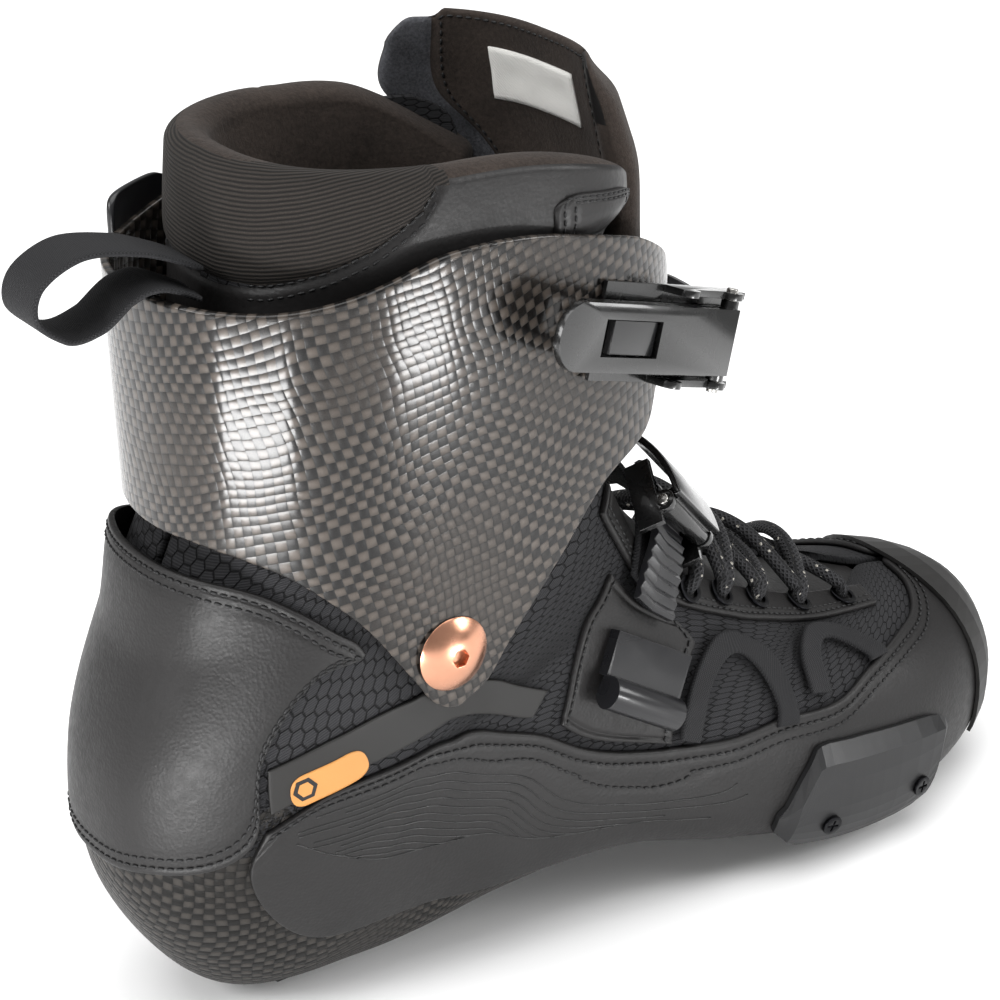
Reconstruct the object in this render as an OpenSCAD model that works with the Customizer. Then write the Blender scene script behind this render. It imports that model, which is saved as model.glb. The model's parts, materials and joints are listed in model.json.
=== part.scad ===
// Inline speed skate boot, right foot, without its frame and wheels.
// Axes: X runs heel to toe, Y runs to the inner side, Z is up.
// The origin is the mouth of the heel mounting hole, on the sole.
// Shoe parts are strips laid on one boot surface and thickened outwards.

/* [Frame mounting] */
// Distance from the back of the boot to the heel mounting hole
heel_mount_x = 55; // [45:0.5:65]
// Distance between the two frame mounting holes
mount_spacing = 165; // [155:1:195]
// Radius of the M6 thread in the frame inserts
insert_thread_r = 3; // [2.5:0.1:4]
// Outer radius of a frame insert barrel
insert_r = 6.5; // [5:0.1:9]
// Height of a frame insert barrel
insert_h = 9; // [6:0.5:14]
// Height of the front mounting face above the heel mounting face
toe_face_z = 2; // [0:0.5:10]

/* [Shells and soft layers] */
// Thickness of the carbon sole shell
sole_t = 2.4; // [1.5:0.1:4]
// Thickness of the textile upper
upper_t = 2; // [1:0.1:3]
// Height of the gap between the upper and a panel sewn on it
lift = 0.7; // [0.4:0.1:1.2]
// Thickness of the leather panels
leather_t = 1.3; // [0.8:0.1:2]
// Thickness of the padding inside the collar
pad_t = 6; // [3:0.5:9]
// Thickness of the tongue where it is thickest
tongue_t = 13; // [6:0.5:16]
// How far the tongue stands in front of the collar opening
tongue_out = 14; // [4:0.5:18]

/* [Cuff] */
// Thickness of the carbon cuff
cuff_t = 2.2; // [1.5:0.1:4]
// Half width of the cuff at the ankle bolts
cuff_half_w = 47; // [45:0.5:52]
// Extra half width of the cuff at its top edge
cuff_flare = 2; // [0:0.5:6]
// Distance of the ankle axis from the back of the boot
ankle_x = 80.3; // [76:0.1:85]
// Height of the ankle axis above the heel mounting face
ankle_z = 102; // [96:0.5:108]
// Radius of the domed ankle bolt head
bolt_head_r = 9.8; // [8:0.1:11]
// Radius of the ankle bolt shoulder that the cuff turns on
shoulder_r = 5; // [4:0.1:6]
// Radial gap between a turning part and its pin
run_gap = 0.05; // [0.02:0.01:0.1]

/* [Buckles and straps] */
// Length of the upper lever from its hinge pin to its free end
upper_lever_l = 72; // [60:1:80]
// Width of the upper lever
upper_lever_w = 17; // [12:0.5:20]
// Length of the instep lever from its hinge pin to its free end
mid_lever_l = 25; // [20:1:50]
// Width of the instep lever
mid_lever_w = 25; // [21:0.5:30]
// Radius of the buckle hinge pins
pin_r = 1.5; // [1:0.1:2.5]
// Width of the ratchet straps
strap_w = 16; // [12:0.5:22]
// Thickness of the ratchet straps between the teeth
strap_t = 1.6; // [1:0.1:3]
// Height of the ratchet teeth
tooth_h = 0.9; // [0.5:0.1:1.5]

/* [Laces and loops] */
// Radius of the round lace
lace_r = 2.2; // [1.5:0.1:3]
// Outer radius of an eyelet ring
eyelet_r = 4; // [3:0.1:5.5]
// Width of the webbing loops
webbing_w = 9; // [6:0.5:14]
// Width of the pull loop webbing
pull_w = 17; // [12:0.5:25]

/* [Hidden] */
$fn = 48;
axis_p = [ankle_x, 0, ankle_z];
toe_mount_x = heel_mount_x + mount_spacing;
panel_in = lift;
panel_out = lift + leather_t;

carbon_c = [0.07, 0.07, 0.075];
leather_c = [0.13, 0.125, 0.125];
textile_c = [0.1, 0.1, 0.11];
suede_c = [0.2, 0.17, 0.16];
plastic_c = [0.06, 0.06, 0.065];
metal_c = [0.16, 0.16, 0.17];
copper_c = [0.78, 0.5, 0.38];
gold_c = [0.85, 0.62, 0.33];

// Boot surface stations from the toe, along the sole, up the heel to the
// collar: back or bottom point x z, top or front point x z, outer and inner
// half widths, share of the section below its widest line, two corner powers.
stations = [
  [281,  22, 283,  34,  2,  2, 0.45, 2.0, 2.0],
  [275,  11, 280,  43, 22, 22, 0.42, 2.4, 2.0],
  [262,   6, 268,  51, 36, 37, 0.38, 3.0, 2.1],
  [235,   4, 243,  58, 47, 46, 0.34, 3.8, 2.2],
  [200,   6, 213,  67, 51, 49, 0.32, 4.2, 2.2],
  [165,  12, 190,  80, 49, 46, 0.33, 4.2, 2.2],
  [130,  18, 172,  95, 45, 43, 0.36, 4.0, 2.2],
  [ 95,  13, 160, 109, 43, 42, 0.40, 3.2, 2.3],
  [ 60,   1, 154, 122, 42, 41, 0.48, 2.2, 2.4],
  [ 28,   5, 150, 133, 41.5, 41.5, 0.50, 2.2, 2.5],
  [  6,  36, 149, 143, 41.5, 41.5, 0.48, 2.5, 2.5],
  [  4,  72, 149, 153, 41.5, 41.5, 0.46, 2.4, 2.5],
  [ 16, 106, 149, 164, 41, 41, 0.45, 2.3, 2.6],
  [ 31, 136, 149, 176, 41, 41, 0.45, 2.3, 2.8],
  [ 38, 164, 149, 189, 41, 41, 0.45, 2.3, 2.8],
  [ 42, 192, 149, 203, 42, 42, 0.45, 2.3, 2.8],
  [ 44, 212, 148, 214, 42, 42, 0.45, 2.3, 2.8],
  [ 46, 230, 147, 226, 41, 41, 0.45, 2.3, 2.8],
  [ 48, 246, 146, 238, 41, 41, 0.45, 2.3, 2.8]
];

// Smooth value of a table of rows at row number t
function row(tab, i) = tab[min(max(i, 0), len(tab) - 1)];
function blend4(a, b, c, d, f) =
  0.5 * (2 * b + (c - a) * f + (2 * a - 5 * b + 4 * c - d) * f * f + (3 * b - a - 3 * c + d) * f * f * f);
function at(tab, t) =
  let (n = len(tab) - 1, c = min(max(t, 0), n - 0.000001), i = floor(c))
  blend4(row(tab, i - 1), row(tab, i), row(tab, i + 1), row(tab, i + 2), c - i);
function unit(v) = v / max(norm(v), 0.000001);
function turn(a) = a > 180 ? a - 360 : a < -180 ? a + 360 : a;

// Boot surface: t counts stations, a is the angle round the section,
// 0 at the sole or the back, negative on the outer side, 180 at the front.
// The first station is closed by a dome that ends at the toe tip.
toe_tip = [283, 0, 30];
function boot(t, a) =
  let (p = section(max(t, 1), turn(a)), g = sqrt(max(t, 0)))
  t >= 1 ? p : [p[0] + (toe_tip[0] - p[0]) * (1 - max(t, 0)), p[1] * g, toe_tip[2] + (p[2] - toe_tip[2]) * g];
function section(t, a) =
  let (r = at(stations, t), low = abs(a) <= 90)
  let (e = 2 / (low ? r[7] : r[8]), c = pow(abs(cos(a)), e), s = pow(abs(sin(a)), e))
  let (k = low ? r[6] * (1 - c) : r[6] + (1 - r[6]) * c, w = a < 0 ? r[4] : r[5])
  [r[0] + (r[2] - r[0]) * k, sign(a) * w * s, r[1] + (r[3] - r[1]) * k];
function boot_normal(t, a) =
  unit(cross(boot(t + 0.02, a) - boot(t - 0.02, a), boot(t, a + 1) - boot(t, a - 1)));
function on_boot(t, a, o) = boot(t, a) + o * boot_normal(t, a);

// Cuff surface: z is the height, a the angle round it, 0 at the back
cuff_mid_x = 85;
cuff_back = 61;
cuff_front = 84;
function ramp(v) = let (k = min(max(v, 0), 1)) k * k * (3 - 2 * k);
function on_cuff(z, a, o) =
  let (w = cuff_half_w + cuff_flare * ramp((z - 95) / 95) + o, rear = cos(a) > 0)
  let (p = 2 / (rear ? 2.25 : 2.7), len_x = (rear ? cuff_back : cuff_front) + o)
  [cuff_mid_x - len_x * sign(cos(a)) * pow(abs(cos(a)), p), w * sign(sin(a)) * pow(abs(sin(a)), p), z];

// Strip between two edge curves, as a grid of surface coordinates
function strip(ca, cb, nu, nv) = [
  for (i = [0:nu]) for (j = [0:nv])
    let (p = at(ca, i / nu * (len(ca) - 1)), q = at(cb, i / nu * (len(cb) - 1)))
    p + (q - p) * j / nv
];
function flip_all(fs, f) = f ? [for (t = fs) [t[2], t[1], t[0]]] : fs;
// Solid between an outer and an inner grid of points
module slab(outer, inner, nu, nv) {
  m = nv + 1;
  k = (nu + 1) * m;
  c = floor(nu / 2) * m + floor(nv / 2);
  side = cross(outer[c + m] - outer[c], outer[c + 1] - outer[c]) * (outer[c] - inner[c]);
  top = [for (i = [0:nu - 1]) for (j = [0:nv - 1]) let (a = i * m + j)
    each [[a, a + 1, a + m], [a + 1, a + m + 1, a + m]]];
  bottom = [for (t = top) [t[2] + k, t[1] + k, t[0] + k]];
  ends = [for (j = [0:nv - 1]) let (b = nu * m + j)
    each [[j + 1, j, j + k], [j + 1, j + k, j + 1 + k], [b, b + 1, b + k], [b + 1, b + 1 + k, b + k]]];
  sides = [for (i = [0:nu - 1]) let (a = i * m, b = i * m + nv)
    each [[a, a + m, a + k], [a + m, a + m + k, a + k], [b + m, b, b + k], [b + m, b + k, b + m + k]]];
  polyhedron(points = concat(outer, inner), faces = flip_all(concat(top, bottom, ends, sides), side < 0));
}
// Layer of the boot surface between two edge curves and two heights
module layer(ca, cb, nu, nv, low, high) {
  g = strip(ca, cb, nu, nv);
  slab([for (p = g) on_boot(p[0], p[1], high)], [for (p = g) on_boot(p[0], p[1], low)], nu, nv);
}
function mirrored(c) = [for (p = c) [p[0], -p[1]]];
function shifted(c, d) = [for (p = c) p + d];
// Puts the children in boot coordinates measured from the back of the heel
module boot_frame() {
  translate([-heel_mount_x, 0, 0]) children();
}
// Puts the children on the boot surface, z outwards, y round the section
module on_surface(t, a, o) {
  n = boot_normal(t, a);
  v = unit(boot(t, a + 1) - boot(t, a - 1));
  u = cross(v, n);
  p = on_boot(t, a, o);
  multmatrix([
    [u[0], v[0], n[0], p[0]],
    [u[1], v[1], n[1], p[1]],
    [u[2], v[2], n[2], p[2]],
    [0, 0, 0, 1]]) children();
}
// Round tube with closed ends through a list of points
module tube(pts, r, sides) {
  n = len(pts);
  tang = [for (i = [0:n - 1]) unit(pts[min(i + 1, n - 1)] - pts[max(i - 1, 0)])];
  ring = [for (i = [0:n - 1])
    let (w = unit(cross(tang[i], cross([0, 0.2, 1], tang[i]))), q = cross(tang[i], w))
    each [for (k = [0:sides - 1]) pts[i] + r * (q * cos(k * 360 / sides) + w * sin(k * 360 / sides))]];
  wall = [for (i = [0:n - 2]) for (k = [0:sides - 1])
    let (a = i * sides + k, b = i * sides + (k + 1) % sides)
    each [[a, a + sides, b], [b, a + sides, b + sides]]];
  cap_a = [for (k = [1:sides - 2]) [0, k, k + 1]];
  cap_b = [for (k = [1:sides - 2]) let (s = (n - 1) * sides) [s, s + k + 1, s + k]];
  polyhedron(points = ring, faces = flip_all(concat(wall, cap_a, cap_b), true));
}
// Flat band through a list of points with a list of width directions
module band(pts, across, w, t_in, t_out, nu) {
  last = len(pts) - 1;
  tang = [for (i = [0:nu]) unit(at(pts, (i / nu + 0.01) * last) - at(pts, (i / nu - 0.01) * last))];
  mid = [for (i = [0:nu]) at(pts, i / nu * (len(pts) - 1))];
  wid = [for (i = [0:nu]) unit(at(across, i / nu * (len(across) - 1)))];
  nrm = [for (i = [0:nu]) unit(cross(tang[i], wid[i]))];
  slab([for (i = [0:nu]) for (j = [0:2]) mid[i] + wid[i] * w * (j / 2 - 0.5) + nrm[i] * t_out],
    [for (i = [0:nu]) for (j = [0:2]) mid[i] + wid[i] * w * (j / 2 - 0.5) + nrm[i] * t_in], nu, 2);
}

// Edge curves, each point a station number and an angle
sole_edge = [[0.0006, -75], [0.5, -75], [2, -75], [5, -75], [8, -75], [9.5, -72], [10.45, -64]];
upper_low = [
  [0.0006, -76.5], [0.6, -76.5], [2, -76.5], [4, -76.5], [6, -76.5], [8, -76.5], [9.6, -73.5], [10.55, -66],
  [10.62, -40], [10.72, -14], [10.95, -4], [11.4, -1.2], [12.6, -0.9], [14, -0.9], [15.5, -0.9], [17, -0.9]];
upper_high = [
  [0.0006, -179.2], [0.6, -179.2], [1.6, -179.2], [2.6, -178.8], [2.95, -174], [3.4, -163], [5, -154.5],
  [6.6, -145], [8, -144],
  [8.9, -146], [9.8, -148], [11, -149], [12.4, -146], [13.6, -142], [15.4, -138], [16.4, -122]];
rim = [
  [15.2, -136], [16.2, -121], [16.7, -95], [16.9, -40], [16.9, 0], [16.9, 40], [16.7, 95],
  [16.2, 121], [15.2, 136]];
rim_foot = [for (p = rim) [12.4, p[1] * 0.98]];
pad_gap = 1;
counter_top = [
  [11.2, 82], [11.5, 77], [12.1, 60], [12.5, 40], [12.66, 15], [12.66, -15], [12.5, -40],
  [12.1, -60], [11.5, -77], [11.2, -82]];
counter_low = [
  [11.18, 81], [11.33, 69], [10.9, 58], [10.25, 53], [10.42, 20], [10.42, -20], [10.25, -53],
  [10.9, -58], [11.33, -69], [11.18, -81]];
rand_top = [
  [10.28, -57.5], [10.13, -73.3], [9.66, -85.8], [9.41, -89.6], [8.94, -92.3], [7.7, -94.4],
  [6.4, -93.8], [5.9, -95], [5.37, -99.5], [4.83, -107.8], [4.15, -115.4], [3.67, -126.8],
  [3.2, -137], [2.8, -146], [2.55, -160], [2.45, -176], [2.2, -179], [1.5, -179.2], [0.6, -179.2],
  [0.0006, -179.2]];
rand_low = [
  [10.2, -54.5], [10, -50.3], [9.5, -48], [9.1, -49], [8.5, -56], [7.3, -61], [6.3, -60],
  [5.6, -58], [5, -56], [4.5, -55], [4, -55], [3.5, -55], [3, -55], [2.4, -55], [1.8, -55],
  [1.3, -55], [0.9, -55], [0.5, -55], [0.2, -55], [0.0006, -55]];
band_top = [
  [10.79, -59.5], [10.6, -75.4], [10.25, -88.4], [9.51, -96.4], [9, -98.8], [8.6, -100], [8.42, -100.4]];
band_low = [
  [10.4, -59.5], [10.2, -75], [9.75, -87.8], [9.45, -91.8], [9, -94.2], [8.6, -95.2], [8.42, -95.8]];
badge_top = [[10.6, -64.5], [10.52, -70], [10.43, -75], [10.33, -80.5]];
side_rear = [[7.85, -96.5], [8, -101.4], [8.2, -108], [8.3, -114.5], [8.2, -120], [8.1, -127]];
side_front = [[6, -95.5], [6.05, -100], [6.08, -108], [6.03, -119.5], [6, -124], [6.3, -128]];
eyestay_out = [
  [8.9, -136], [7.6, -134], [6.22, -133.5], [5.33, -138], [4.71, -142.5], [3.8, -148.5], [3.2, -151.5]];
eyestay_in = [
  [8.9, -145], [7.6, -143], [6.4, -144], [5.4, -150.5], [4.7, -155], [3.9, -159.5], [3.2, -162]];
eyelets = [[6.12, -139], [5.52, -144], [4.9, -149], [4.2, -153], [3.55, -156]];
tongue_edge = [
  [3.25, -152], [4.2, -150], [5.4, -142], [6.6, -138], [8, -140], [9, -150], [9.6, -153],
  [10.8, -153.5], [12.2, -152], [14, -149], [16, -147], [17.75, -146]];
loop_rear_out = [
  [5.95, -97], [6, -112], [5.75, -127], [5.38, -131.5], [4.95, -128], [4.7, -114], [4.66, -107]];
loop_rear_in = [
  [5.72, -97], [5.75, -111], [5.6, -121], [5.38, -125], [5.12, -121], [4.92, -112], [4.9, -105]];
loop_front_out = [
  [4.5, -117], [4.55, -130], [4.35, -141], [4.05, -144], [3.75, -141], [3.5, -134], [3.45, -130]];
loop_front_in = [
  [4.25, -118], [4.3, -129], [4.2, -136], [4.05, -138], [3.88, -136], [3.7, -131], [3.68, -128]];
slider_top = [
  [4.69, -80], [4.5, -95], [4.42, -100.5], [4.1, -102.5], [3.77, -103.3], [3.15, -102.3], [2.88, -98]];
slider_low = [
  [4.67, -68], [4.5, -60], [4.37, -57], [4, -57], [3.7, -57], [3.3, -62], [2.97, -85]];
cuff_top_half = [
  [176, -152], [183, -147], [190, -135], [195, -125], [200, -112], [204, -102], [206, -94],
  [206, -88], [204.5, -82], [202.5, -76], [200, -66], [198, -52], [197.6, -36], [197.8, -18]];
cuff_low_half = [
  [172, -151], [160, -144], [150, -136.5], [141, -131], [133, -115], [118, -104], [101, -95],
  [90, -91], [86.5, -87.5], [90, -82], [100, -76], [117, -64], [131, -45], [136.5, -22]];
function both_sides(half, z_back) =
  concat(half, [[z_back, 0]], [for (i = [len(half) - 1:-1:0]) [half[i][0], -half[i][1]]]);
cuff_top = both_sides(cuff_top_half, 198);
cuff_low = both_sides(cuff_low_half, 136.5);

sole_gap = 0.15;
loop_in = panel_out + 0.15;
loop_t = 1.1;
slider_in = panel_out + 0.2;
slider_out = slider_in + 4.6;
hole_gap = 0.1;

// Sole, heel and frame mounts
module sole_shell() {
  color(carbon_c) boot_frame() difference() {
    layer(sole_edge, mirrored(sole_edge), 28, 14, -sole_t, 0);
    for (x = [heel_mount_x, toe_mount_x])
      translate([x, 0, -5]) cylinder(r = insert_r + hole_gap, h = 20);
  }
}
// Flat face under the sole round one mounting hole
module mount_pad(t0, t1, a, z, x) {
  edge = [[t0, -a], [(t0 + t1) / 2, -a], [t1, -a]];
  g = strip(edge, mirrored(edge), 8, 8);
  low = [for (p = g) let (q = on_boot(p[0], p[1], sole_gap)) [q[0], q[1], z]];
  difference() {
    slab(low, [for (p = g) on_boot(p[0], p[1], sole_gap)], 8, 8);
    translate([x, 0, z - 5]) cylinder(r = insert_r + hole_gap, h = 20);
  }
}
module heel_mount_pad() {
  color(plastic_c) boot_frame() mount_pad(7.88, 8.48, 13, 0, heel_mount_x);
}
module toe_mount_pad() {
  color(plastic_c) boot_frame() mount_pad(2.85, 4.1, 20, toe_face_z, toe_mount_x);
}
flange_r = 9.5;
flange_t = 1.6;
// Threaded insert standing on its mounting face
module insert(x, z) {
  color(metal_c) boot_frame() translate([x, 0, z]) difference() {
    union() {
      cylinder(r = insert_r, h = insert_h);
      translate([0, 0, insert_h - flange_t]) cylinder(r = flange_r, h = flange_t);
    }
    translate([0, 0, -1]) cylinder(r = insert_thread_r, h = insert_h + 2);
  }
}
module heel_insert() { insert(heel_mount_x, 0); }
module toe_insert() { insert(toe_mount_x, toe_face_z); }
module insole() {
  edge = [[1.9, -36], [4, -36], [6, -36], [8, -36], [9.1, -36]];
  color(textile_c) boot_frame() layer(edge, mirrored(edge), 16, 6, -13, -10.4);
}

// Upper, collar and tongue
module upper_lateral() {
  color(textile_c) boot_frame() difference() {
    layer(upper_low, upper_high, 40, 10, -upper_t, 0);
    bolt_hole(-1);
  }
}
module upper_medial() {
  color(textile_c) boot_frame() difference() {
    layer(mirrored(upper_low), mirrored(upper_high), 40, 10, -upper_t, 0);
    bolt_hole(1);
  }
}
module bolt_hole(side) {
  translate([ankle_x, side * 30, ankle_z]) rotate([-90 * side, 0, 0]) cylinder(r = nut_r + hole_gap, h = 20);
}
module collar_padding() {
  color(suede_c) boot_frame() layer(rim_foot, rim, 40, 6, -upper_t - pad_gap - pad_t, -upper_t - pad_gap);
}
tongue_crown = 6;
toe_tongue_t = 3.4;
function tongue_high(t) = -2.6 + (tongue_out + 2.6) * ramp((t - 9.3) / 3) - 6 * ramp((t - 15) / 3.4);
function tongue_low(t) =
  tongue_high(t) - toe_tongue_t - (tongue_t - toe_tongue_t) * ramp((t - 9.3) / 3) + 3 * ramp((t - 15) / 3.4);
function tongue_drop(t, v) = tongue_crown * ramp((t - 9.3) / 3) * (1 - sin(180 * v));
tongue_wrap = 20;
// The inner edge wraps further round the ankle above the collar
tongue_far = [for (p = tongue_edge) [p[0], -360 - p[1] - tongue_wrap * ramp(p[0] - 15)]];
module tongue() {
  g = strip(tongue_edge, tongue_far, 36, 8);
  color(suede_c) boot_frame()
    slab([for (i = [0:36]) for (j = [0:8]) let (p = g[i * 9 + j])
      on_boot(p[0], p[1], tongue_high(p[0]) - tongue_drop(p[0], j / 8))],
      [for (p = g) on_boot(p[0], p[1], tongue_low(p[0]))], 36, 8);
}
module tongue_label() {
  edge = [[16.1, -170], [17.2, -170]];
  g = strip(edge, shifted(edge, [0, -30]), 3, 3);
  color([0.92, 0.92, 0.9]) boot_frame() slab([for (p = g) on_boot(p[0], p[1], tongue_low(p[0]) - 0.3)],
    [for (p = g) on_boot(p[0], p[1], tongue_low(p[0]) - 0.7)], 3, 3);
}
// The top edge of the heel counter stands off the liner at the back
counter_flare = 5;
function flare(p) = counter_flare * ramp((p[0] - 11.9) / 0.8) * ramp((56 - abs(p[1])) / 30);
module heel_counter() {
  g = strip(counter_top, counter_low, 40, 8);
  color(leather_c) boot_frame()
    slab([for (p = g) on_boot(p[0], p[1], panel_out + flare(p))],
      [for (p = g) on_boot(p[0], p[1], panel_in + flare(p))], 40, 8);
}
module rand_lateral() {
  color(leather_c) boot_frame() layer(rand_top, rand_low, 48, 6, panel_in, panel_out);
}
module rand_medial() {
  color(leather_c) boot_frame() layer(mirrored(rand_top), mirrored(rand_low), 48, 6, panel_in, panel_out);
}
module toe_bumper() {
  front = [for (a = [-70:-22:-290]) [0.0006, a]];
  back = [for (a = [-70:-22:-290]) [2.15 + 0.3 * pow(cos(a * 0.9 + 162), 4), a]];
  color(plastic_c) boot_frame() layer(front, back, 30, 6, panel_out + 0.3, panel_out + 1.4);
}
module side_band_lateral() {
  color(leather_c) boot_frame() layer(band_top, band_low, 18, 4, lift, lift + 0.6);
}
module side_band_medial() {
  color(leather_c) boot_frame() layer(mirrored(band_top), mirrored(band_low), 18, 4, lift, lift + 0.6);
}
module side_badge() {
  color(gold_c) boot_frame() layer(badge_top, shifted(badge_top, [-0.23, 0.4]), 8, 2, lift + 0.9, lift + 1.3);
}
module side_panel_lateral() {
  color(leather_c) boot_frame() layer(side_rear, side_front, 12, 8, panel_in, panel_out - 0.1);
}
module side_panel_medial() {
  color(leather_c) boot_frame()
    layer(mirrored(side_rear), mirrored(side_front), 12, 8, panel_in, panel_out - 0.1);
}
module eyestay_lateral() {
  color(leather_c) boot_frame() layer(eyestay_out, eyestay_in, 22, 4, panel_in, panel_out);
}
module eyestay_medial() {
  color(leather_c) boot_frame()
    layer(mirrored(eyestay_out), mirrored(eyestay_in), 22, 4, panel_in, panel_out);
}
eyelet_t = 0.9;
eyelet_gap = 0.25;
eyelet_hole_r = lace_r + 0.3;
// Row of metal eyelet rings on one side
module eyelet_row(side) {
  for (p = eyelets)
    on_surface(p[0], -side * p[1], panel_out + eyelet_gap)
      rotate_extrude() translate([eyelet_hole_r, 0]) square([eyelet_r - eyelet_hole_r, eyelet_t]);
}
module eyelets_lateral() { color(metal_c) boot_frame() eyelet_row(-1); }
module eyelets_medial() { color(metal_c) boot_frame() eyelet_row(1); }
lace_o = panel_out + eyelet_gap + eyelet_t + lace_r + 0.5;
lace_steps = 6;
// Lace run from side to side, first is the side of its first eyelet
function lace_run(first, bump) = [
  for (i = [0:len(eyelets) - 2]) for (k = [0:lace_steps - (i == len(eyelets) - 2 ? 0 : 1)])
    let (s = k / lace_steps, p = eyelets[i], q = eyelets[i + 1], even = (i % 2 == 0) == (first < 0))
    let (a = p[1] + (-360 - q[1] - p[1]) * s, b = -360 - p[1] + (q[1] + 360 + p[1]) * s)
    on_boot(p[0] + (q[0] - p[0]) * s, even ? a : b, lace_o + bump * pow(sin(180 * s), 2))
];
module lace_lower_run() { color(textile_c) boot_frame() tube(lace_run(-1, 0), lace_r, 8); }
module lace_upper_run() { color(textile_c) boot_frame() tube(lace_run(1, 2 * lace_r + 0.8), lace_r, 8); }
module webbing_loop(a, b) {
  color(textile_c) boot_frame() layer(a, b, 20, 1, loop_in, loop_in + loop_t);
}
module webbing_loop_rear_lateral() { webbing_loop(loop_rear_out, loop_rear_in); }
module webbing_loop_front_lateral() { webbing_loop(loop_front_out, loop_front_in); }
module webbing_loop_rear_medial() { webbing_loop(mirrored(loop_rear_out), mirrored(loop_rear_in)); }
module webbing_loop_front_medial() { webbing_loop(mirrored(loop_front_out), mirrored(loop_front_in)); }
pull_path = [
  [37.5, -5, 203], [32, -5, 206], [22, -4, 210], [9, -2, 211.5], [-1, 0, 206], [-3, 0, 198], [4, -1, 192],
  [12, -3, 193.5], [20, -5, 199.5], [27, -7, 200.8], [36, -9, 196.5]];
module pull_loop() {
  color(textile_c) boot_frame() band(pull_path, [[0, 1, 0], [0.1, 1, 0]], pull_w, -0.7, 0.7, 30);
}
module toe_slider() {
  g = strip(slider_top, slider_low, 18, 8);
  color(plastic_c) boot_frame()
    slab([for (i = [0:18]) for (j = [0:8]) let (p = g[i * 9 + j], k = min(min(i, 18 - i) / 2, min(j, 8 - j)))
      on_boot(p[0], p[1], slider_in + 1.6 + (slider_out - slider_in - 1.6) * min(k, 1))],
      [for (p = g) on_boot(p[0], p[1], slider_in)], 18, 8);
}
// Countersunk style screw head with a cross recess, resting at height zero
module cross_screw(r, h) {
  difference() {
    cylinder(r = r, h = h);
    for (a = [0, 90]) rotate(a) translate([-r * 0.6, -r * 0.12, h - 0.5]) cube([r * 1.2, r * 0.24, 1]);
  }
}
slider_screw_r = 3;
module slider_screw_rear() {
  color(metal_c) boot_frame() on_surface(4.22, -77, slider_out + 0.15) cross_screw(slider_screw_r, 0.9);
}
module slider_screw_front() {
  color(metal_c) boot_frame() on_surface(3.3, -82, slider_out + 0.15) cross_screw(slider_screw_r, 0.9);
}

// Instep strap over the laces, with its ratchet buckle
strap_t0 = 6.6;
strap_t1 = 7.62;
strap_mid = (strap_t0 + strap_t1) / 2;
block_a = -113;
// The ladder strap rises from the anchor block to pass through the buckle
function ladder_o(a) = 4.7 + 2 * ramp((-a - 130) / 14);
module strap_anchor_block() {
  color(plastic_c) boot_frame() on_surface(6.85, block_a, loop_in + 0.3) {
    translate([-13, -7, 0]) cube([26, 12, 3.6]);
    translate([-12, 9.2, 4.6]) rotate([0, 90, 0]) cylinder(r = 4.4, h = 24);
    translate([-12, 4.6, 1]) cube([24, 4.6, 3]);
  }
}
module instep_ladder_strap() {
  edge = [for (a = [-125.5:-6:-172]) [strap_t0 + 0.03, a]];
  far = [for (p = edge) [strap_t1 - 0.03, p[1]]];
  g = strip(edge, far, 28, 2);
  color(plastic_c) boot_frame()
    slab([for (i = [0:28]) for (j = [0:2]) let (p = g[i * 3 + j])
      on_boot(p[0], p[1], ladder_o(p[1]) + strap_t + (i % 2 == 0 ? 0 : tooth_h))],
      [for (p = g) on_boot(p[0], p[1], ladder_o(p[1]))], 28, 2);
}
module instep_strap() {
  edge = [for (a = [-131:-11:-263]) [strap_t0, a]];
  far = [for (p = edge) [strap_t1, p[1]]];
  color(textile_c) boot_frame() layer(edge, far, 24, 3, panel_out + 0.7, panel_out + 2.1);
}
mid_a = -153;
mid_o = panel_out + 2.6;
cheek_in = strap_w / 2 + 2.6;
cheek_t = 1.8;
hinge_v = 5;
hinge_n = 8.4;
hinge_boss = 3;
module instep_buckle_base() {
  color(metal_c) boot_frame() on_surface(strap_mid, mid_a, mid_o) difference() {
    union() {
      translate([-cheek_in - cheek_t, -5, 0]) cube([2 * (cheek_in + cheek_t), 10, 1.1]);
      for (s = [-1, 1]) translate([s * (cheek_in + cheek_t / 2), 0, 0]) {
        translate([-cheek_t / 2, -9, 0]) cube([cheek_t, 20, 7]);
        translate([-cheek_t / 2, hinge_v, hinge_n]) rotate([0, 90, 0]) cylinder(r = hinge_boss, h = cheek_t);
      }
    }
    translate([-20, hinge_v, hinge_n]) rotate([0, 90, 0]) cylinder(r = pin_r + 0.02, h = 40);
  }
}
module instep_buckle_pin() {
  color(metal_c) boot_frame() on_surface(strap_mid, mid_a, mid_o)
    translate([-cheek_in - cheek_t - 0.8, hinge_v, hinge_n]) rotate([0, 90, 0])
      cylinder(r = pin_r, h = 2 * (cheek_in + cheek_t + 0.8));
}
lever_bend = 36;
lever_rise = 3.3;
lever_sweep = mid_lever_l / lever_bend * 180 / PI;
module instep_lever() {
  color(metal_c) boot_frame() on_surface(strap_mid, mid_a, mid_o)
    translate([0, hinge_v, hinge_n]) difference() {
    union() {
      rotate([0, 90, 0]) translate([0, 0, 0.3 - cheek_in]) cylinder(r = 2.7, h = 2 * cheek_in - 0.6);
      translate([0.3 - cheek_in, -4, 0]) cube([2 * cheek_in - 0.6, 4, lever_rise + 0.5]);
      translate([0, 0, lever_rise - lever_bend]) rotate([0, -90, 0]) translate([0, 0, -mid_lever_w / 2])
        rotate_extrude(angle = -lever_sweep) translate([lever_bend, 0]) square([1.8, mid_lever_w]);
    }
    rotate([0, 90, 0]) translate([0, 0, -20]) cylinder(r = pin_r + run_gap, h = 40);
  }
}

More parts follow.
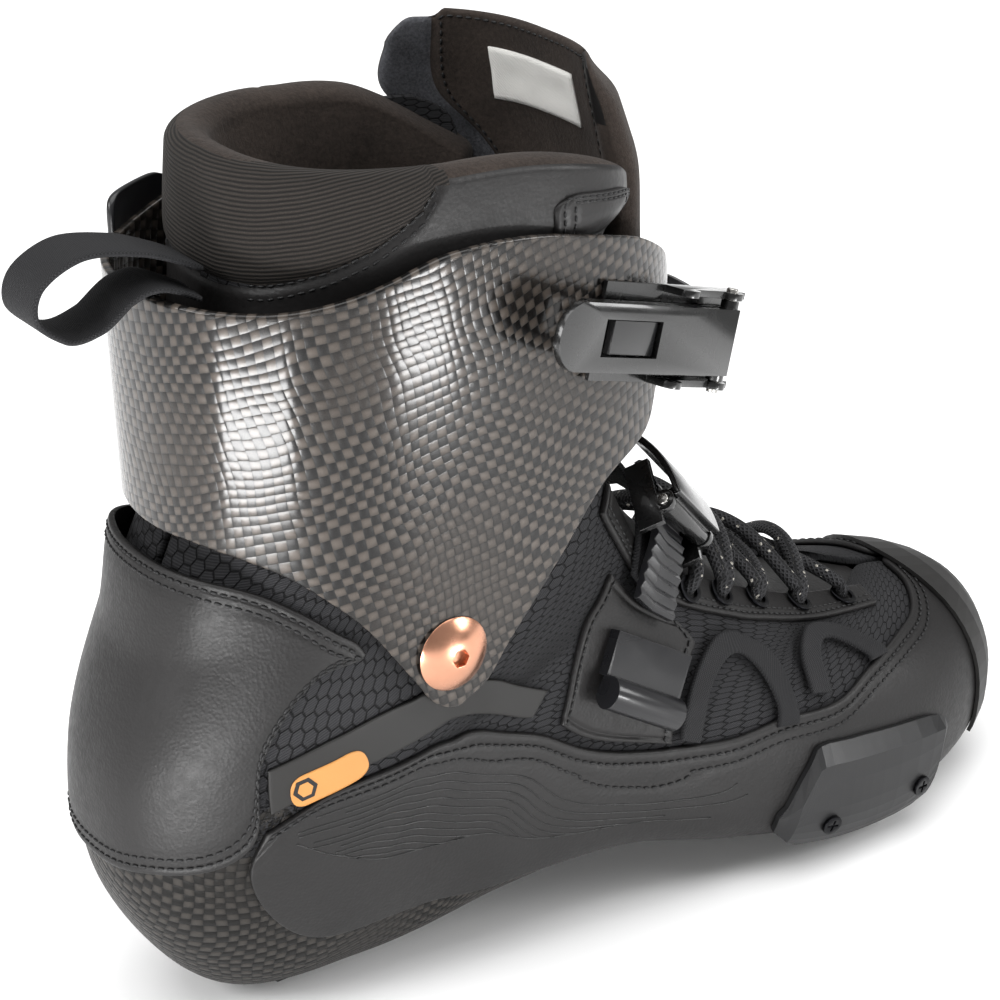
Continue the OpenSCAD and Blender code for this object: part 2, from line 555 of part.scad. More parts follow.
// Ankle bolts, the cuff turns on their shoulders
nut_r = 5.6;
nut_in = 37.4;
bolt_seat = cuff_half_w + 0.35;
module ankle_axis(side) {
  translate([ankle_x, 0, ankle_z]) rotate([-90 * side, 0, 0]) children();
}
module ankle_bolt(side) {
  color(copper_c) boot_frame() ankle_axis(side) difference() {
    union() {
      translate([0, 0, bolt_seat]) intersection() {
        cylinder(r = bolt_head_r, h = 4);
        translate([0, 0, -12.4]) sphere(r = 15.9, $fn = 96);
      }
      translate([0, 0, cuff_half_w - cuff_t - 0.3])
        cylinder(r = shoulder_r, h = bolt_seat - cuff_half_w + cuff_t + 0.4);
      translate([0, 0, nut_in - 3]) cylinder(r = insert_thread_r, h = 12);
    }
    translate([0, 0, bolt_seat + 1.2]) cylinder(r = 2.5, h = 5, $fn = 6);
  }
}
module ankle_bolt_lateral() { ankle_bolt(-1); }
module ankle_bolt_medial() { ankle_bolt(1); }
module ankle_nut(side) {
  color(metal_c) boot_frame() ankle_axis(side) translate([0, 0, nut_in]) difference() {
    union() {
      cylinder(r = flange_r, h = 1.2);
      cylinder(r = nut_r, h = cuff_half_w - cuff_t - 0.5 - nut_in);
    }
    translate([0, 0, -1]) cylinder(r = insert_thread_r + run_gap, h = 20);
  }
}
module ankle_nut_lateral() { ankle_nut(-1); }
module ankle_nut_medial() { ankle_nut(1); }
bushing_r = 7.5;
module cuff_shell() {
  g = strip(cuff_top, cuff_low, 60, 8);
  color(carbon_c) boot_frame() difference() {
    slab([for (p = g) on_cuff(p[0], p[1], 0)], [for (p = g) on_cuff(p[0], p[1], -cuff_t)], 60, 8);
    for (s = [-1, 1]) ankle_axis(s) translate([0, 0, 30]) cylinder(r = bushing_r, h = 30);
  }
}
module cuff_bushing(side) {
  color(metal_c) boot_frame() ankle_axis(side) translate([0, 0, cuff_half_w - cuff_t]) difference() {
    cylinder(r = bushing_r, h = cuff_t + 0.1);
    translate([0, 0, -1]) cylinder(r = shoulder_r + run_gap, h = 10);
  }
}
module cuff_bushing_lateral() { cuff_bushing(-1); }
module cuff_bushing_medial() { cuff_bushing(1); }

// Upper buckle frame: x runs forwards along the strap, y inwards, z across
buckle_p = [166.9, -38.8, 160.5];
buckle_yaw = 15;
buckle_pitch = 20;
module buckle_frame() {
  translate(buckle_p) rotate([0, 0, buckle_yaw]) rotate([0, buckle_pitch, 0]) children();
}
buckle_hinge_y = -3.6;
floor_y = 1.5;
floor_t = 1.1;
cheek_z = 10.6;
module upper_buckle_base() {
  color(metal_c) boot_frame() buckle_frame() difference() {
    union() {
      translate([-46, floor_y, -cheek_z - cheek_t]) cube([52, floor_t, 2 * (cheek_z + cheek_t)]);
      for (s = [-1, 1]) translate([0, 0, s * (cheek_z + cheek_t / 2)]) {
        translate([-22, buckle_hinge_y, -cheek_t / 2]) cube([28, floor_y - buckle_hinge_y + 0.5, cheek_t]);
        translate([0, buckle_hinge_y, -cheek_t / 2]) cylinder(r = hinge_boss, h = cheek_t);
        translate([-19, buckle_hinge_y, -cheek_t / 2]) cylinder(r = hinge_boss, h = cheek_t);
      }
      for (x = [-38, -26])
        translate([x, floor_y, 0]) rotate([-90, 0, 0]) cylinder(r = 3.5, h = floor_t + 0.4);
    }
    translate([0, buckle_hinge_y, -20]) cylinder(r = pin_r + 0.02, h = 40);
  }
}
module upper_buckle_pin() {
  color(metal_c) boot_frame() buckle_frame() translate([0, buckle_hinge_y, -cheek_z - cheek_t - 1])
    cylinder(r = pin_r, h = 2 * (cheek_z + cheek_t + 1));
}
lever_y = -7.2;
lever_t = 2;
lever_hub_r = 2.3;
release_x = -34;
release_y = -3.4;
trunnion_r = 1.2;
module upper_lever() {
  color(metal_c) boot_frame() buckle_frame() difference() {
    union() {
      translate([0, buckle_hinge_y, -cheek_z + 0.3]) cylinder(r = lever_hub_r, h = 2 * cheek_z - 0.6);
      translate([-upper_lever_l + upper_lever_w / 2, lever_y, -upper_lever_w / 2])
        cube([upper_lever_l - upper_lever_w / 2, lever_t, upper_lever_w]);
      translate([-upper_lever_l + upper_lever_w / 2, lever_y, 0]) rotate([-90, 0, 0])
        cylinder(r = upper_lever_w / 2, h = lever_t);
      translate([-5, lever_y, -upper_lever_w / 2]) cube([5, 4, upper_lever_w]);
      for (s = [-1, 1]) translate([-60, lever_y + 1, s * (upper_lever_w / 2 - 0.8) - 0.8]) cube([36, 4, 1.6]);
    }
    translate([0, buckle_hinge_y, -20]) cylinder(r = pin_r + run_gap, h = 40);
    translate([release_x, release_y, -20]) cylinder(r = trunnion_r + run_gap, h = 40);
    translate([-55, lever_y - 1, -4.6]) cube([23, lever_t + 2, 9.2]);
  }
}
module upper_release() {
  color(plastic_c) boot_frame() buckle_frame() translate([release_x, release_y, 0]) {
    translate([0, 0, -upper_lever_w / 2]) cylinder(r = trunnion_r, h = upper_lever_w);
    translate([0, 0, -4.2]) cylinder(r = 1.7, h = 8.4);
    translate([-16, -2.6, -4.2]) cube([16, 2, 8.4]);
    translate([-1.4, -2.6, -4.2]) cube([2.8, 2.6, 8.4]);
  }
}
function buckle_dir(v) =
  let (c = cos(buckle_pitch), s = sin(buckle_pitch), q = [v[0] * c + v[2] * s, v[1], v[2] * c - v[0] * s])
  [q[0] * cos(buckle_yaw) - q[1] * sin(buckle_yaw), q[0] * sin(buckle_yaw) + q[1] * cos(buckle_yaw), q[2]];
function buckle_at(v) = buckle_p + buckle_dir(v);
function other_side(p) = [p[0], -p[1], p[2]];
strap_half = concat([for (x = [-36:12:0]) buckle_at([x, 0.6, 0])],
  [buckle_at([7, 1.6, 0]), [179, -16, 154]]);
upper_strap_path = concat(strap_half, [[181.5, 0, 153.2]], [for (i = [5:-1:0]) other_side(strap_half[i])]);
across_half = buckle_dir([0, 0, 1]);
upper_strap_across = [across_half, across_half, across_half, [0.28, 0, 0.96], other_side(across_half),
  other_side(across_half), other_side(across_half)];
module upper_ladder_strap() {
  color(plastic_c) boot_frame() band(upper_strap_path, upper_strap_across, strap_w, 0, strap_t, 44);
}
module upper_strap_anchor() {
  color(metal_c) boot_frame() mirror([0, 1, 0]) buckle_frame() {
    translate([-46, floor_y, -9]) cube([32, floor_t, 18]);
    for (x = [-38, -26]) translate([x, floor_y, 0]) rotate([-90, 0, 0]) cylinder(r = 3.5, h = floor_t + 0.4);
  }
}
module upper_strap_screw() {
  color(metal_c) boot_frame() mirror([0, 1, 0]) buckle_frame()
    translate([-30, -1.15, 0]) rotate([90, 0, 0]) cross_screw(4, 1.4);
}

sole_shell();
heel_mount_pad();
toe_mount_pad();
heel_insert();
toe_insert();
insole();
upper_lateral();
upper_medial();
collar_padding();
heel_counter();
rand_lateral();
rand_medial();
toe_bumper();
side_band_lateral();
side_band_medial();
side_badge();
side_panel_lateral();
side_panel_medial();
eyestay_lateral();
eyestay_medial();
eyelets_lateral();
eyelets_medial();
lace_lower_run();
lace_upper_run();
tongue();
tongue_label();
webbing_loop_rear_lateral();
webbing_loop_front_lateral();
webbing_loop_rear_medial();
webbing_loop_front_medial();
pull_loop();
toe_slider();
slider_screw_rear();
slider_screw_front();
strap_anchor_block();
instep_ladder_strap();
instep_strap();
instep_buckle_base();
instep_buckle_pin();
instep_lever();
ankle_bolt_lateral();
ankle_bolt_medial();
ankle_nut_lateral();
ankle_nut_medial();
cuff_shell();
cuff_bushing_lateral();
cuff_bushing_medial();
upper_buckle_base();
upper_buckle_pin();
upper_lever();
upper_release();
upper_ladder_strap();
upper_strap_anchor();
upper_strap_screw();
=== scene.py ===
"""Looks of an inline speed skate boot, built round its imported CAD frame.

Shoe parts are strips of one boot surface, worked out in millimetres from the
back of the heel and put into the mesh in metres in the frame's own place.
"""

import json
import math

import bmesh
import bpy
import numpy as np
from mathutils import Matrix, Vector

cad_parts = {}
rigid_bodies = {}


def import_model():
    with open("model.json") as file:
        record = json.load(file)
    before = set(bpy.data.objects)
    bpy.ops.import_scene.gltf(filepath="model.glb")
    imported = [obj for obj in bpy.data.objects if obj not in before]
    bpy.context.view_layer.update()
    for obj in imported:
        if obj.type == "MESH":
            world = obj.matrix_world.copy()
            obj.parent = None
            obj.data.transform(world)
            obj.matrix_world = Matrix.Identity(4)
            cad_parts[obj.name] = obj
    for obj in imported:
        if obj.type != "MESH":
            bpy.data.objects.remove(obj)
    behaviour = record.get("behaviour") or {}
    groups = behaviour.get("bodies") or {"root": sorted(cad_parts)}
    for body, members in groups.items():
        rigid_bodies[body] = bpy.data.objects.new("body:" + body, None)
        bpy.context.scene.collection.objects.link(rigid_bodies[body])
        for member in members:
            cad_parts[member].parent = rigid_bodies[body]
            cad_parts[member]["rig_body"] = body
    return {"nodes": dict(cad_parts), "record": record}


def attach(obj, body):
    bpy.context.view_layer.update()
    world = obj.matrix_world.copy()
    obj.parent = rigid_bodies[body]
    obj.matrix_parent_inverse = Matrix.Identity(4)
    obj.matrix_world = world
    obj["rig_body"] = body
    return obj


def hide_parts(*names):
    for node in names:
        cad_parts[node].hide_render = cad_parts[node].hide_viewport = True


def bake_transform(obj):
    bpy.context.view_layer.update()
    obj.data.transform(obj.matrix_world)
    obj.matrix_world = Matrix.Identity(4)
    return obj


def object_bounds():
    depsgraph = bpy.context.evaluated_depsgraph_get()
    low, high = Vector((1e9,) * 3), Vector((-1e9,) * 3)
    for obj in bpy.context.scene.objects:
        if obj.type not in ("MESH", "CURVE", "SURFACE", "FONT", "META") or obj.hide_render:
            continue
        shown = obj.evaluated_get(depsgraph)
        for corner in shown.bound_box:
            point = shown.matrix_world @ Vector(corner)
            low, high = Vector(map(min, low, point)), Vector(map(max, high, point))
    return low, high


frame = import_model()
cad_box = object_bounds()

HEEL_X = 55.0  # from the back of the boot to the heel mounting hole
MM = 0.001

# ---------------------------------------------------------------- boot shape

# back or bottom point x z, top or front point x z, outer and inner half width,
# share of the section below its widest line, two corner powers
STATIONS = np.array([
    [281, 22, 283, 34, 2, 2, 0.45, 2.0, 2.0],
    [275, 11, 280, 43, 22, 22, 0.42, 2.4, 2.0],
    [262, 6, 268, 51, 36, 37, 0.38, 3.0, 2.1],
    [235, 4, 243, 58, 47, 46, 0.34, 3.8, 2.2],
    [200, 6, 213, 67, 51, 49, 0.32, 4.2, 2.2],
    [165, 12, 190, 80, 49, 46, 0.33, 4.2, 2.2],
    [130, 18, 172, 95, 45, 43, 0.36, 4.0, 2.2],
    [95, 13, 160, 109, 43, 42, 0.40, 3.2, 2.3],
    [60, 1, 154, 122, 42, 41, 0.48, 2.2, 2.4],
    [28, 5, 150, 133, 41.5, 41.5, 0.50, 2.2, 2.5],
    [6, 36, 149, 143, 41.5, 41.5, 0.48, 2.5, 2.5],
    [4, 72, 149, 153, 41.5, 41.5, 0.46, 2.4, 2.5],
    [16, 106, 149, 164, 41, 41, 0.45, 2.3, 2.6],
    [31, 136, 149, 176, 41, 41, 0.45, 2.3, 2.8],
    [38, 164, 149, 189, 41, 41, 0.45, 2.3, 2.8],
    [42, 192, 149, 203, 42, 42, 0.45, 2.3, 2.8],
    [44, 212, 148, 214, 42, 42, 0.45, 2.3, 2.8],
    [46, 230, 147, 226, 41, 41, 0.45, 2.3, 2.8],
    [48, 246, 146, 238, 41, 41, 0.45, 2.3, 2.8],
], float)
TOE_TIP = np.array([283.0, 0.0, 30.0])


def table_at(table, t):
    """Smooth value of a table of rows at row number t: a cubic through four rows."""
    table = np.asarray(table, float)
    last = len(table) - 1
    t = np.clip(np.asarray(t, float), 0, last - 1e-6)
    i = np.floor(t).astype(int)
    f = (t - i)[..., None]
    a, b, c, d = (table[np.clip(i + k, 0, last)] for k in (-1, 0, 1, 2))
    return 0.5 * (
        2 * b + (c - a) * f + (2 * a - 5 * b + 4 * c - d) * f**2 + (3 * b - a - 3 * c + d) * f**3
    )


def section(t, a):
    """Point of a boot section: two half superellipses, sized by the station row."""
    row = table_at(STATIONS, t)
    low = np.abs(a) <= 90
    power = 2 / np.where(low, row[..., 7], row[..., 8])
    angle = np.radians(np.abs(a))
    c = np.abs(np.cos(angle)) ** power
    s = np.abs(np.sin(angle)) ** power
    share = row[..., 6]
    k = np.where(low, share * (1 - c), share + (1 - share) * c)
    width = np.where(a < 0, row[..., 4], row[..., 5])
    x = row[..., 0] + (row[..., 2] - row[..., 0]) * k
    z = row[..., 1] + (row[..., 3] - row[..., 1]) * k
    return np.stack([x, np.sign(a) * width * s, z], -1)


def boot(t, a):
    """Boot surface: t counts stations, a goes round the section in degrees."""
    t, a = np.broadcast_arrays(np.asarray(t, float), np.asarray(a, float))
    a = np.where(a > 180, a - 360, np.where(a < -180, a + 360, a))
    p = section(np.maximum(t, 1), a)
    dome = np.clip(t, 0, 1)[..., None]
    tip = TOE_TIP + (p - TOE_TIP) * np.concatenate([dome, np.sqrt(dome), np.sqrt(dome)], -1)
    return np.where((t >= 1)[..., None], p, tip)


def unit(v):
    """Vectors of length one."""
    return v / np.maximum(np.linalg.norm(v, axis=-1, keepdims=True), 1e-9)


def boot_normal(t, a):
    """Outward normal: cross product of the two surface directions."""
    along = boot(t + 0.02, a) - boot(t - 0.02, a)
    return unit(np.cross(along, boot(t, a + 1) - boot(t, a - 1)))


def on_boot(t, a, o):
    """Point at height o over the boot surface."""
    return boot(t, a) + np.asarray(o, float)[..., None] * boot_normal(t, a)


def ramp(v):
    """Smooth step from 0 to 1."""
    k = np.clip(v, 0, 1)
    return k * k * (3 - 2 * k)


CUFF_MID_X, CUFF_BACK, CUFF_FRONT, CUFF_HALF_W, CUFF_FLARE = 85.0, 61.0, 84.0, 47.0, 2.0


def on_cuff(z, a, o):
    """Point over the cuff surface: a superellipse round the ankle at height z."""
    width = CUFF_HALF_W + CUFF_FLARE * ramp((z - 95) / 95) + o
    angle = np.radians(a)
    rear = np.cos(angle) > 0
    power = 2 / np.where(rear, 2.25, 2.7)
    length = np.where(rear, CUFF_BACK, CUFF_FRONT) + o
    x = CUFF_MID_X - length * np.sign(np.cos(angle)) * np.abs(np.cos(angle)) ** power
    y = width * np.sign(np.sin(angle)) * np.abs(np.sin(angle)) ** power
    return np.stack(np.broadcast_arrays(x, y, z), -1)


# ---------------------------------------------------------------- edge curves

PANEL_IN, PANEL_OUT = 0.7, 2.0
SOLE_EDGE = [[0.0006, -75], [0.5, -75], [2, -75], [5, -75], [8, -75], [9.5, -72], [10.45, -64]]
UPPER_LOW = [
    [0.0006, -76.5], [0.6, -76.5], [2, -76.5], [4, -76.5], [6, -76.5], [8, -76.5], [9.6, -73.5], [10.55, -66],
    [10.62, -40], [10.72, -14], [10.95, -4], [11.4, -1.2], [12.6, -0.9], [14, -0.9], [15.5, -0.9], [16.5, -0.9],
]
UPPER_HIGH = [
    [0.0006, -179.2], [0.6, -179.2], [1.6, -179.2], [2.6, -178.8], [2.95, -174], [3.4, -163], [5, -154.5],
    [6.6, -145], [8, -144], [8.9, -146], [9.8, -148], [11, -149], [12.4, -146], [13.6, -142], [15.4, -138],
    [16, -124],
]
RIM = [
    [14.75, -159], [15.3, -148], [15.9, -133], [16.4, -108], [16.6, -80], [16.68, -40], [16.72, 0],
    [16.68, 40], [16.62, 80], [16.4, 100], [15.85, 116], [15.2, 131], [14.7, 146],
]
COUNTER_TOP = [
    [11.2, 82], [11.5, 77], [12.1, 60], [12.5, 40], [12.66, 15], [12.66, -15], [12.5, -40],
    [12.1, -60], [11.5, -77], [11.2, -82],
]
COUNTER_LOW = [
    [11.18, 81], [11.33, 69], [10.9, 58], [10.25, 53], [10.42, 20], [10.42, -20], [10.25, -53],
    [10.9, -58], [11.33, -69], [11.18, -81],
]
RAND_TOP = [
    [10.28, -57.5], [10.13, -73.3], [9.66, -85.8], [9.41, -89.6], [8.94, -92.3], [7.7, -94.4],
    [6.4, -93.8], [5.9, -95], [5.37, -99.5], [4.83, -107.8], [4.15, -115.4], [3.67, -126.8],
    [3.2, -137], [2.8, -146], [2.55, -160], [2.45, -176], [2.2, -179], [1.5, -179.2], [0.6, -179.2],
    [0.0006, -179.2],
]
RAND_LOW = [
    [10.2, -54.5], [10, -50.3], [9.5, -48], [9.1, -49], [8.5, -56], [7.3, -61], [6.3, -60],
    [5.6, -58], [5, -56], [4.5, -55], [4, -55], [3.5, -55], [3, -55], [2.4, -55], [1.8, -55],
    [1.3, -55], [0.9, -55], [0.5, -55], [0.2, -55], [0.0006, -55],
]
BAND_TOP = [
    [10.79, -59.5], [10.6, -75.4], [10.25, -88.4], [9.51, -96.4], [9, -98.8], [8.6, -100], [8.42, -100.4],
]
BAND_LOW = [
    [10.4, -59.5], [10.2, -75], [9.75, -87.8], [9.45, -91.8], [9, -94.2], [8.6, -95.2], [8.42, -95.8],
]
BADGE_TOP = [[10.6, -64.5], [10.52, -70], [10.43, -75], [10.33, -80.5]]
SIDE_REAR = [[7.85, -96.5], [8, -101.4], [8.2, -108], [8.3, -114.5], [8.2, -120], [8.1, -127]]
SIDE_FRONT = [[6, -95.5], [6.05, -100], [6.08, -108], [6.03, -119.5], [6, -124], [6.3, -128]]
EYESTAY_OUT = [
    [8.9, -136], [7.6, -134], [6.22, -133.5], [5.33, -138], [4.71, -142.5], [3.8, -148.5], [3.2, -151.5],
]
EYESTAY_IN = [
    [8.9, -145], [7.6, -143], [6.4, -144], [5.4, -150.5], [4.7, -155], [3.9, -159.5], [3.2, -162],
]
EYELETS = [[6.12, -139], [5.52, -144], [4.9, -149], [4.2, -153], [3.55, -156]]
TONGUE_EDGE = [
    [2.75, -148], [4.2, -147], [5.4, -142], [6.6, -138], [8, -140], [9, -150], [9.6, -153],
    [10.8, -153.5], [12.2, -152], [14, -149], [16, -147], [17.75, -146],
]
CUFF_TOP_HALF = [
    [176, -152], [183, -147], [190, -135], [195, -125], [200, -112], [204, -102], [206, -94],
    [206, -88], [204.5, -82], [202.5, -76], [200, -66], [198, -52], [197.6, -36], [197.8, -18],
]
CUFF_LOW_HALF = [
    [172, -151], [160, -144], [150, -136.5], [141, -131], [133, -115], [118, -104], [101, -95],
    [90, -91], [86.5, -87.5], [90, -82], [100, -76], [117, -64], [131, -45], [136.5, -22],
]


def other_side(curve):
    """The same edge on the inner side of the boot."""
    return np.asarray(curve, float) * [1, -1]


def both_sides(half, z_back):
    """A cuff edge from the outer front corner round the back to the inner one."""
    return np.concatenate([half, [[z_back, 0]], other_side(half)[::-1]])


# ---------------------------------------------------------------- colours, nodes


def linear(code):
    """Linear colour of an sRGB hex value."""
    s = np.array([int(code[i : i + 2], 16) / 255 for i in (1, 3, 5)])
    c = np.where(s <= 0.04045, s / 12.92, ((s + 0.055) / 1.055) ** 2.4)
    return (*c.tolist(), 1.0)


def add(tree, kind, inputs=None, **settings):
    """Adds a node: settings are its properties, inputs are values or links by socket."""
    n = tree.nodes.new("ShaderNode" + kind)
    for name, value in settings.items():
        setattr(n, name, value)
    for key, value in (inputs or {}).items():
        if isinstance(value, bpy.types.NodeSocket):
            tree.links.new(value, n.inputs[key])
        else:
            n.inputs[key].default_value = value
    return n


def finish_named(name, **sockets):
    """A material with a principled shader; sockets are given by name with _ for a space."""
    m = bpy.data.materials.new(name)
    m.use_nodes = True
    tree = m.node_tree
    shader = tree.nodes["Principled BSDF"]
    for key, value in sockets.items():
        shader.inputs[key.replace("_", " ")].default_value = value
    return m, tree, shader


def maths(tree, operation, a, b=0.0, c=0.0):
    """Result of one sum on numbers or links."""
    return add(tree, "Math", {0: a, 1: b, 2: c}, operation=operation).outputs[0]


def noise(tree, at, scale, detail, socket="Fac", **inputs):
    """Cloudy noise on the given coordinates."""
    return add(tree, "TexNoise", {"Vector": at, "Scale": scale, "Detail": detail, **inputs}).outputs[socket]


def blend_colours(tree, fac, a, b):
    """Colour between two hex values or links by fac."""
    n = add(tree, "Mix", {0: fac}, data_type="RGBA")
    for socket, value in ((n.inputs[6], a), (n.inputs[7], b)):
        if isinstance(value, str):
            socket.default_value = linear(value)
        else:
            tree.links.new(value, socket)
    return n.outputs[2]


def relief(tree, shader, height, depth_mm, socket="Normal"):
    """Bump of that depth in millimetres."""
    inputs = {"Height": height, "Distance": depth_mm * MM, "Strength": 1.0}
    out = add(tree, "Bump", inputs).outputs[0]
    tree.links.new(out, shader.inputs[socket])
    return out


def place(tree, source="Object"):
    """Coordinates on a piece: Object in metres, or UV in millimetres."""
    return add(tree, "TexCoord").outputs[source]


def carbon_cloth(name, dark, light, roughness, coat, tow_mm, turn_deg):
    """Plain woven carbon tows under resin: how the two thread directions catch the light in turn is painted into the
    base colour as a light and dark checker, a painted reflection.
    """
    m, tree, shader = finish_named(
        name, Metallic=0.15, Roughness=roughness, Specular_IOR_Level=0.15,
        Coat_Weight=coat, Coat_Roughness=0.13, Coat_IOR=1.36,
    )
    uv = place(tree, "UV")
    wander = noise(tree, uv, 0.035, 1.0, "Color")
    bent = add(tree, "VectorMath", {0: wander, 1: (7.0, 7.0, 0.0)}, operation="MULTIPLY").outputs[0]
    moved = add(tree, "VectorMath", {0: uv, 1: bent}, operation="ADD").outputs[0]
    cells = add(
        tree,
        "Mapping",
        {"Vector": moved, "Scale": (1 / tow_mm, 1 / tow_mm, 1), "Rotation": (0, 0, math.radians(turn_deg))},
    ).outputs[0]
    split = add(tree, "SeparateXYZ", {0: cells})
    u, v = split.outputs[0], split.outputs[1]
    over = maths(
        tree,
        "MODULO",
        maths(tree, "ABSOLUTE", maths(tree, "ADD", maths(tree, "FLOOR", u), maths(tree, "FLOOR", v))),
        2.0,
    )
    hump_u = maths(tree, "ABSOLUTE", maths(tree, "SINE", maths(tree, "MULTIPLY", u, math.pi)))
    hump_v = maths(tree, "ABSOLUTE", maths(tree, "SINE", maths(tree, "MULTIPLY", v, math.pi)))
    along = add(tree, "Mix", {0: over, 2: hump_u, 3: hump_v}, data_type="FLOAT").outputs[0]
    across = add(tree, "Mix", {0: over, 2: hump_v, 3: hump_u}, data_type="FLOAT").outputs[0]
    height = maths(tree, "ADD", maths(tree, "POWER", along, 0.6), maths(tree, "MULTIPLY", across, 0.5))
    # painted reflection: broad patches set how strongly the light tows stand out from the dark ones
    patch = noise(tree, uv, 0.03, 2.0)
    painted_sheen_contrast = maths(tree, "MULTIPLY_ADD", patch, 3.0, -0.7)
    painted_tow_sheen = maths(
        tree, "MULTIPLY_ADD", maths(tree, "SUBTRACT", over, 0.5), add(tree, "Clamp", {0: painted_sheen_contrast}).outputs[0], 0.5
    )
    thread = noise(tree, cells, 9.0, 1.0)
    painted_tow_sheen = maths(tree, "ADD", painted_tow_sheen, maths(tree, "MULTIPLY", maths(tree, "SUBTRACT", thread, 0.5), 0.5))
    # painted shade: the colour darkens to near black where each tow curves away at its edges
    edge = maths(tree, "MULTIPLY", maths(tree, "POWER", along, 0.35), maths(tree, "POWER", across, 0.25))
    colour = blend_colours(tree, add(tree, "Clamp", {0: painted_tow_sheen}).outputs[0], dark, light)
    shaded = blend_colours(tree, edge, "#050505", colour)
    tree.links.new(shaded, shader.inputs["Base Color"])
    relief(tree, shader, height, 0.22)
    relief(tree, shader, height, 0.035, "Coat Normal")
    return m


def leather(name, colour, worn, roughness, grain_mm=0.9, depth_mm=0.09):
    """Smooth corrected leather: small pebbled grain with faint creases and a low satin shine."""
    m, tree, shader = finish_named(name, Roughness=roughness, Specular_IOR_Level=0.28)
    p = place(tree)
    cell = add(tree, "TexVoronoi", {"Vector": p, "Scale": 1000 / grain_mm, "Randomness": 1.0})
    crease = noise(tree, p, 420.0, 5.0, Roughness=0.62)
    broad = noise(tree, p, 38.0, 3.0)
    height = maths(tree, "ADD", maths(tree, "MULTIPLY", cell.outputs["Distance"], 0.6), crease)
    tree.links.new(blend_colours(tree, broad, colour, worn), shader.inputs["Base Color"])
    rough = add(tree, "MapRange", {0: crease, 1: 0.35, 2: 0.7, 3: roughness - 0.03, 4: roughness + 0.08}).outputs[0]
    tree.links.new(rough, shader.inputs["Roughness"])
    relief(tree, shader, height, depth_mm)
    return m


def hex_mesh(name, size_mm):
    """Padded sports cloth pressed into hexagons: raised cells with fine knit ribs and dark joints."""
    m, tree, shader = finish_named(name, Roughness=0.82, Specular_IOR_Level=0.2, Sheen_Weight=0.02)
    uv = place(tree, "UV")
    q = add(tree, "Mapping", {"Vector": uv, "Scale": (1 / size_mm, 1 / size_mm, 0)}).outputs[0]
    pitch = (1.0, math.sqrt(3.0), 1.0)
    middle = (0.5, math.sqrt(3.0) / 2, 0.0)

    def to_centre(offset):
        shifted = add(tree, "VectorMath", {0: q, 1: offset}, operation="ADD").outputs[0]
        wrapped = add(tree, "VectorMath", {0: shifted, 1: pitch, 2: (0, 0, 0)}, operation="WRAP").outputs[0]
        return add(tree, "VectorMath", {0: wrapped, 1: middle}, operation="SUBTRACT").outputs[0]

    first, second = to_centre((0, 0, 0)), to_centre(middle)
    size_a = add(tree, "VectorMath", {0: first}, operation="LENGTH").outputs["Value"]
    size_b = add(tree, "VectorMath", {0: second}, operation="LENGTH").outputs["Value"]
    nearer = maths(tree, "LESS_THAN", size_a, size_b)
    cell = add(tree, "Mix", {0: nearer, 4: second, 5: first}, data_type="VECTOR").outputs[1]
    corner = add(tree, "VectorMath", {0: cell}, operation="ABSOLUTE").outputs[0]
    slant_way = (0.5, math.sqrt(3.0) / 2, 0)
    slant = add(tree, "VectorMath", {0: corner, 1: slant_way}, operation="DOT_PRODUCT").outputs["Value"]
    side = add(tree, "SeparateXYZ", {0: corner}).outputs[0]
    reach = maths(tree, "MAXIMUM", slant, side)
    edges = {0: reach, 1: 0.49, 2: 0.40, 3: 0.0, 4: 1.0}
    joint = add(tree, "MapRange", edges, interpolation_type="SMOOTHSTEP").outputs[0]
    rib = maths(
        tree,
        "SINE",
        maths(tree, "MULTIPLY", add(tree, "SeparateXYZ", {0: uv}).outputs[0], 2 * math.pi / 0.7),
    )
    tint = blend_colours(tree, joint, "#08080a", "#1d1d1f")
    ribbed = blend_colours(tree, maths(tree, "MULTIPLY_ADD", rib, 0.22, 0.22), tint, "#3a3a3c")
    kept = blend_colours(tree, joint, "#08080a", ribbed)
    tree.links.new(kept, shader.inputs["Base Color"])
    height = maths(tree, "ADD", joint, maths(tree, "MULTIPLY", rib, 0.08))
    relief(tree, shader, height, 0.5)
    return m


def ribbed_cloth(name, colour, light, pitch_mm, depth_mm, axis):
    """Stretch cloth with fine raised cords that run along the piece."""
    m, tree, shader = finish_named(name, Roughness=0.85, Specular_IOR_Level=0.2, Sheen_Weight=0.02)
    uv = place(tree, "UV")
    wobble = noise(tree, uv, 0.05, 2.0)
    way = add(tree, "SeparateXYZ", {0: uv}).outputs[axis]
    phase = maths(tree, "ADD", way, maths(tree, "MULTIPLY", wobble, 1.6))
    wave = maths(tree, "SINE", maths(tree, "MULTIPLY", phase, 2 * math.pi / pitch_mm))
    cord = maths(tree, "MULTIPLY_ADD", wave, 0.5, 0.5)
    fuzz = noise(tree, uv, 3.0, 3.0)
    tree.links.new(
        blend_colours(tree, maths(tree, "MULTIPLY", cord, maths(tree, "ADD", fuzz, 0.2)), colour, light),
        shader.inputs["Base Color"],
    )
    relief(tree, shader, maths(tree, "ADD", cord, maths(tree, "MULTIPLY", fuzz, 0.3)), depth_mm)
    return m


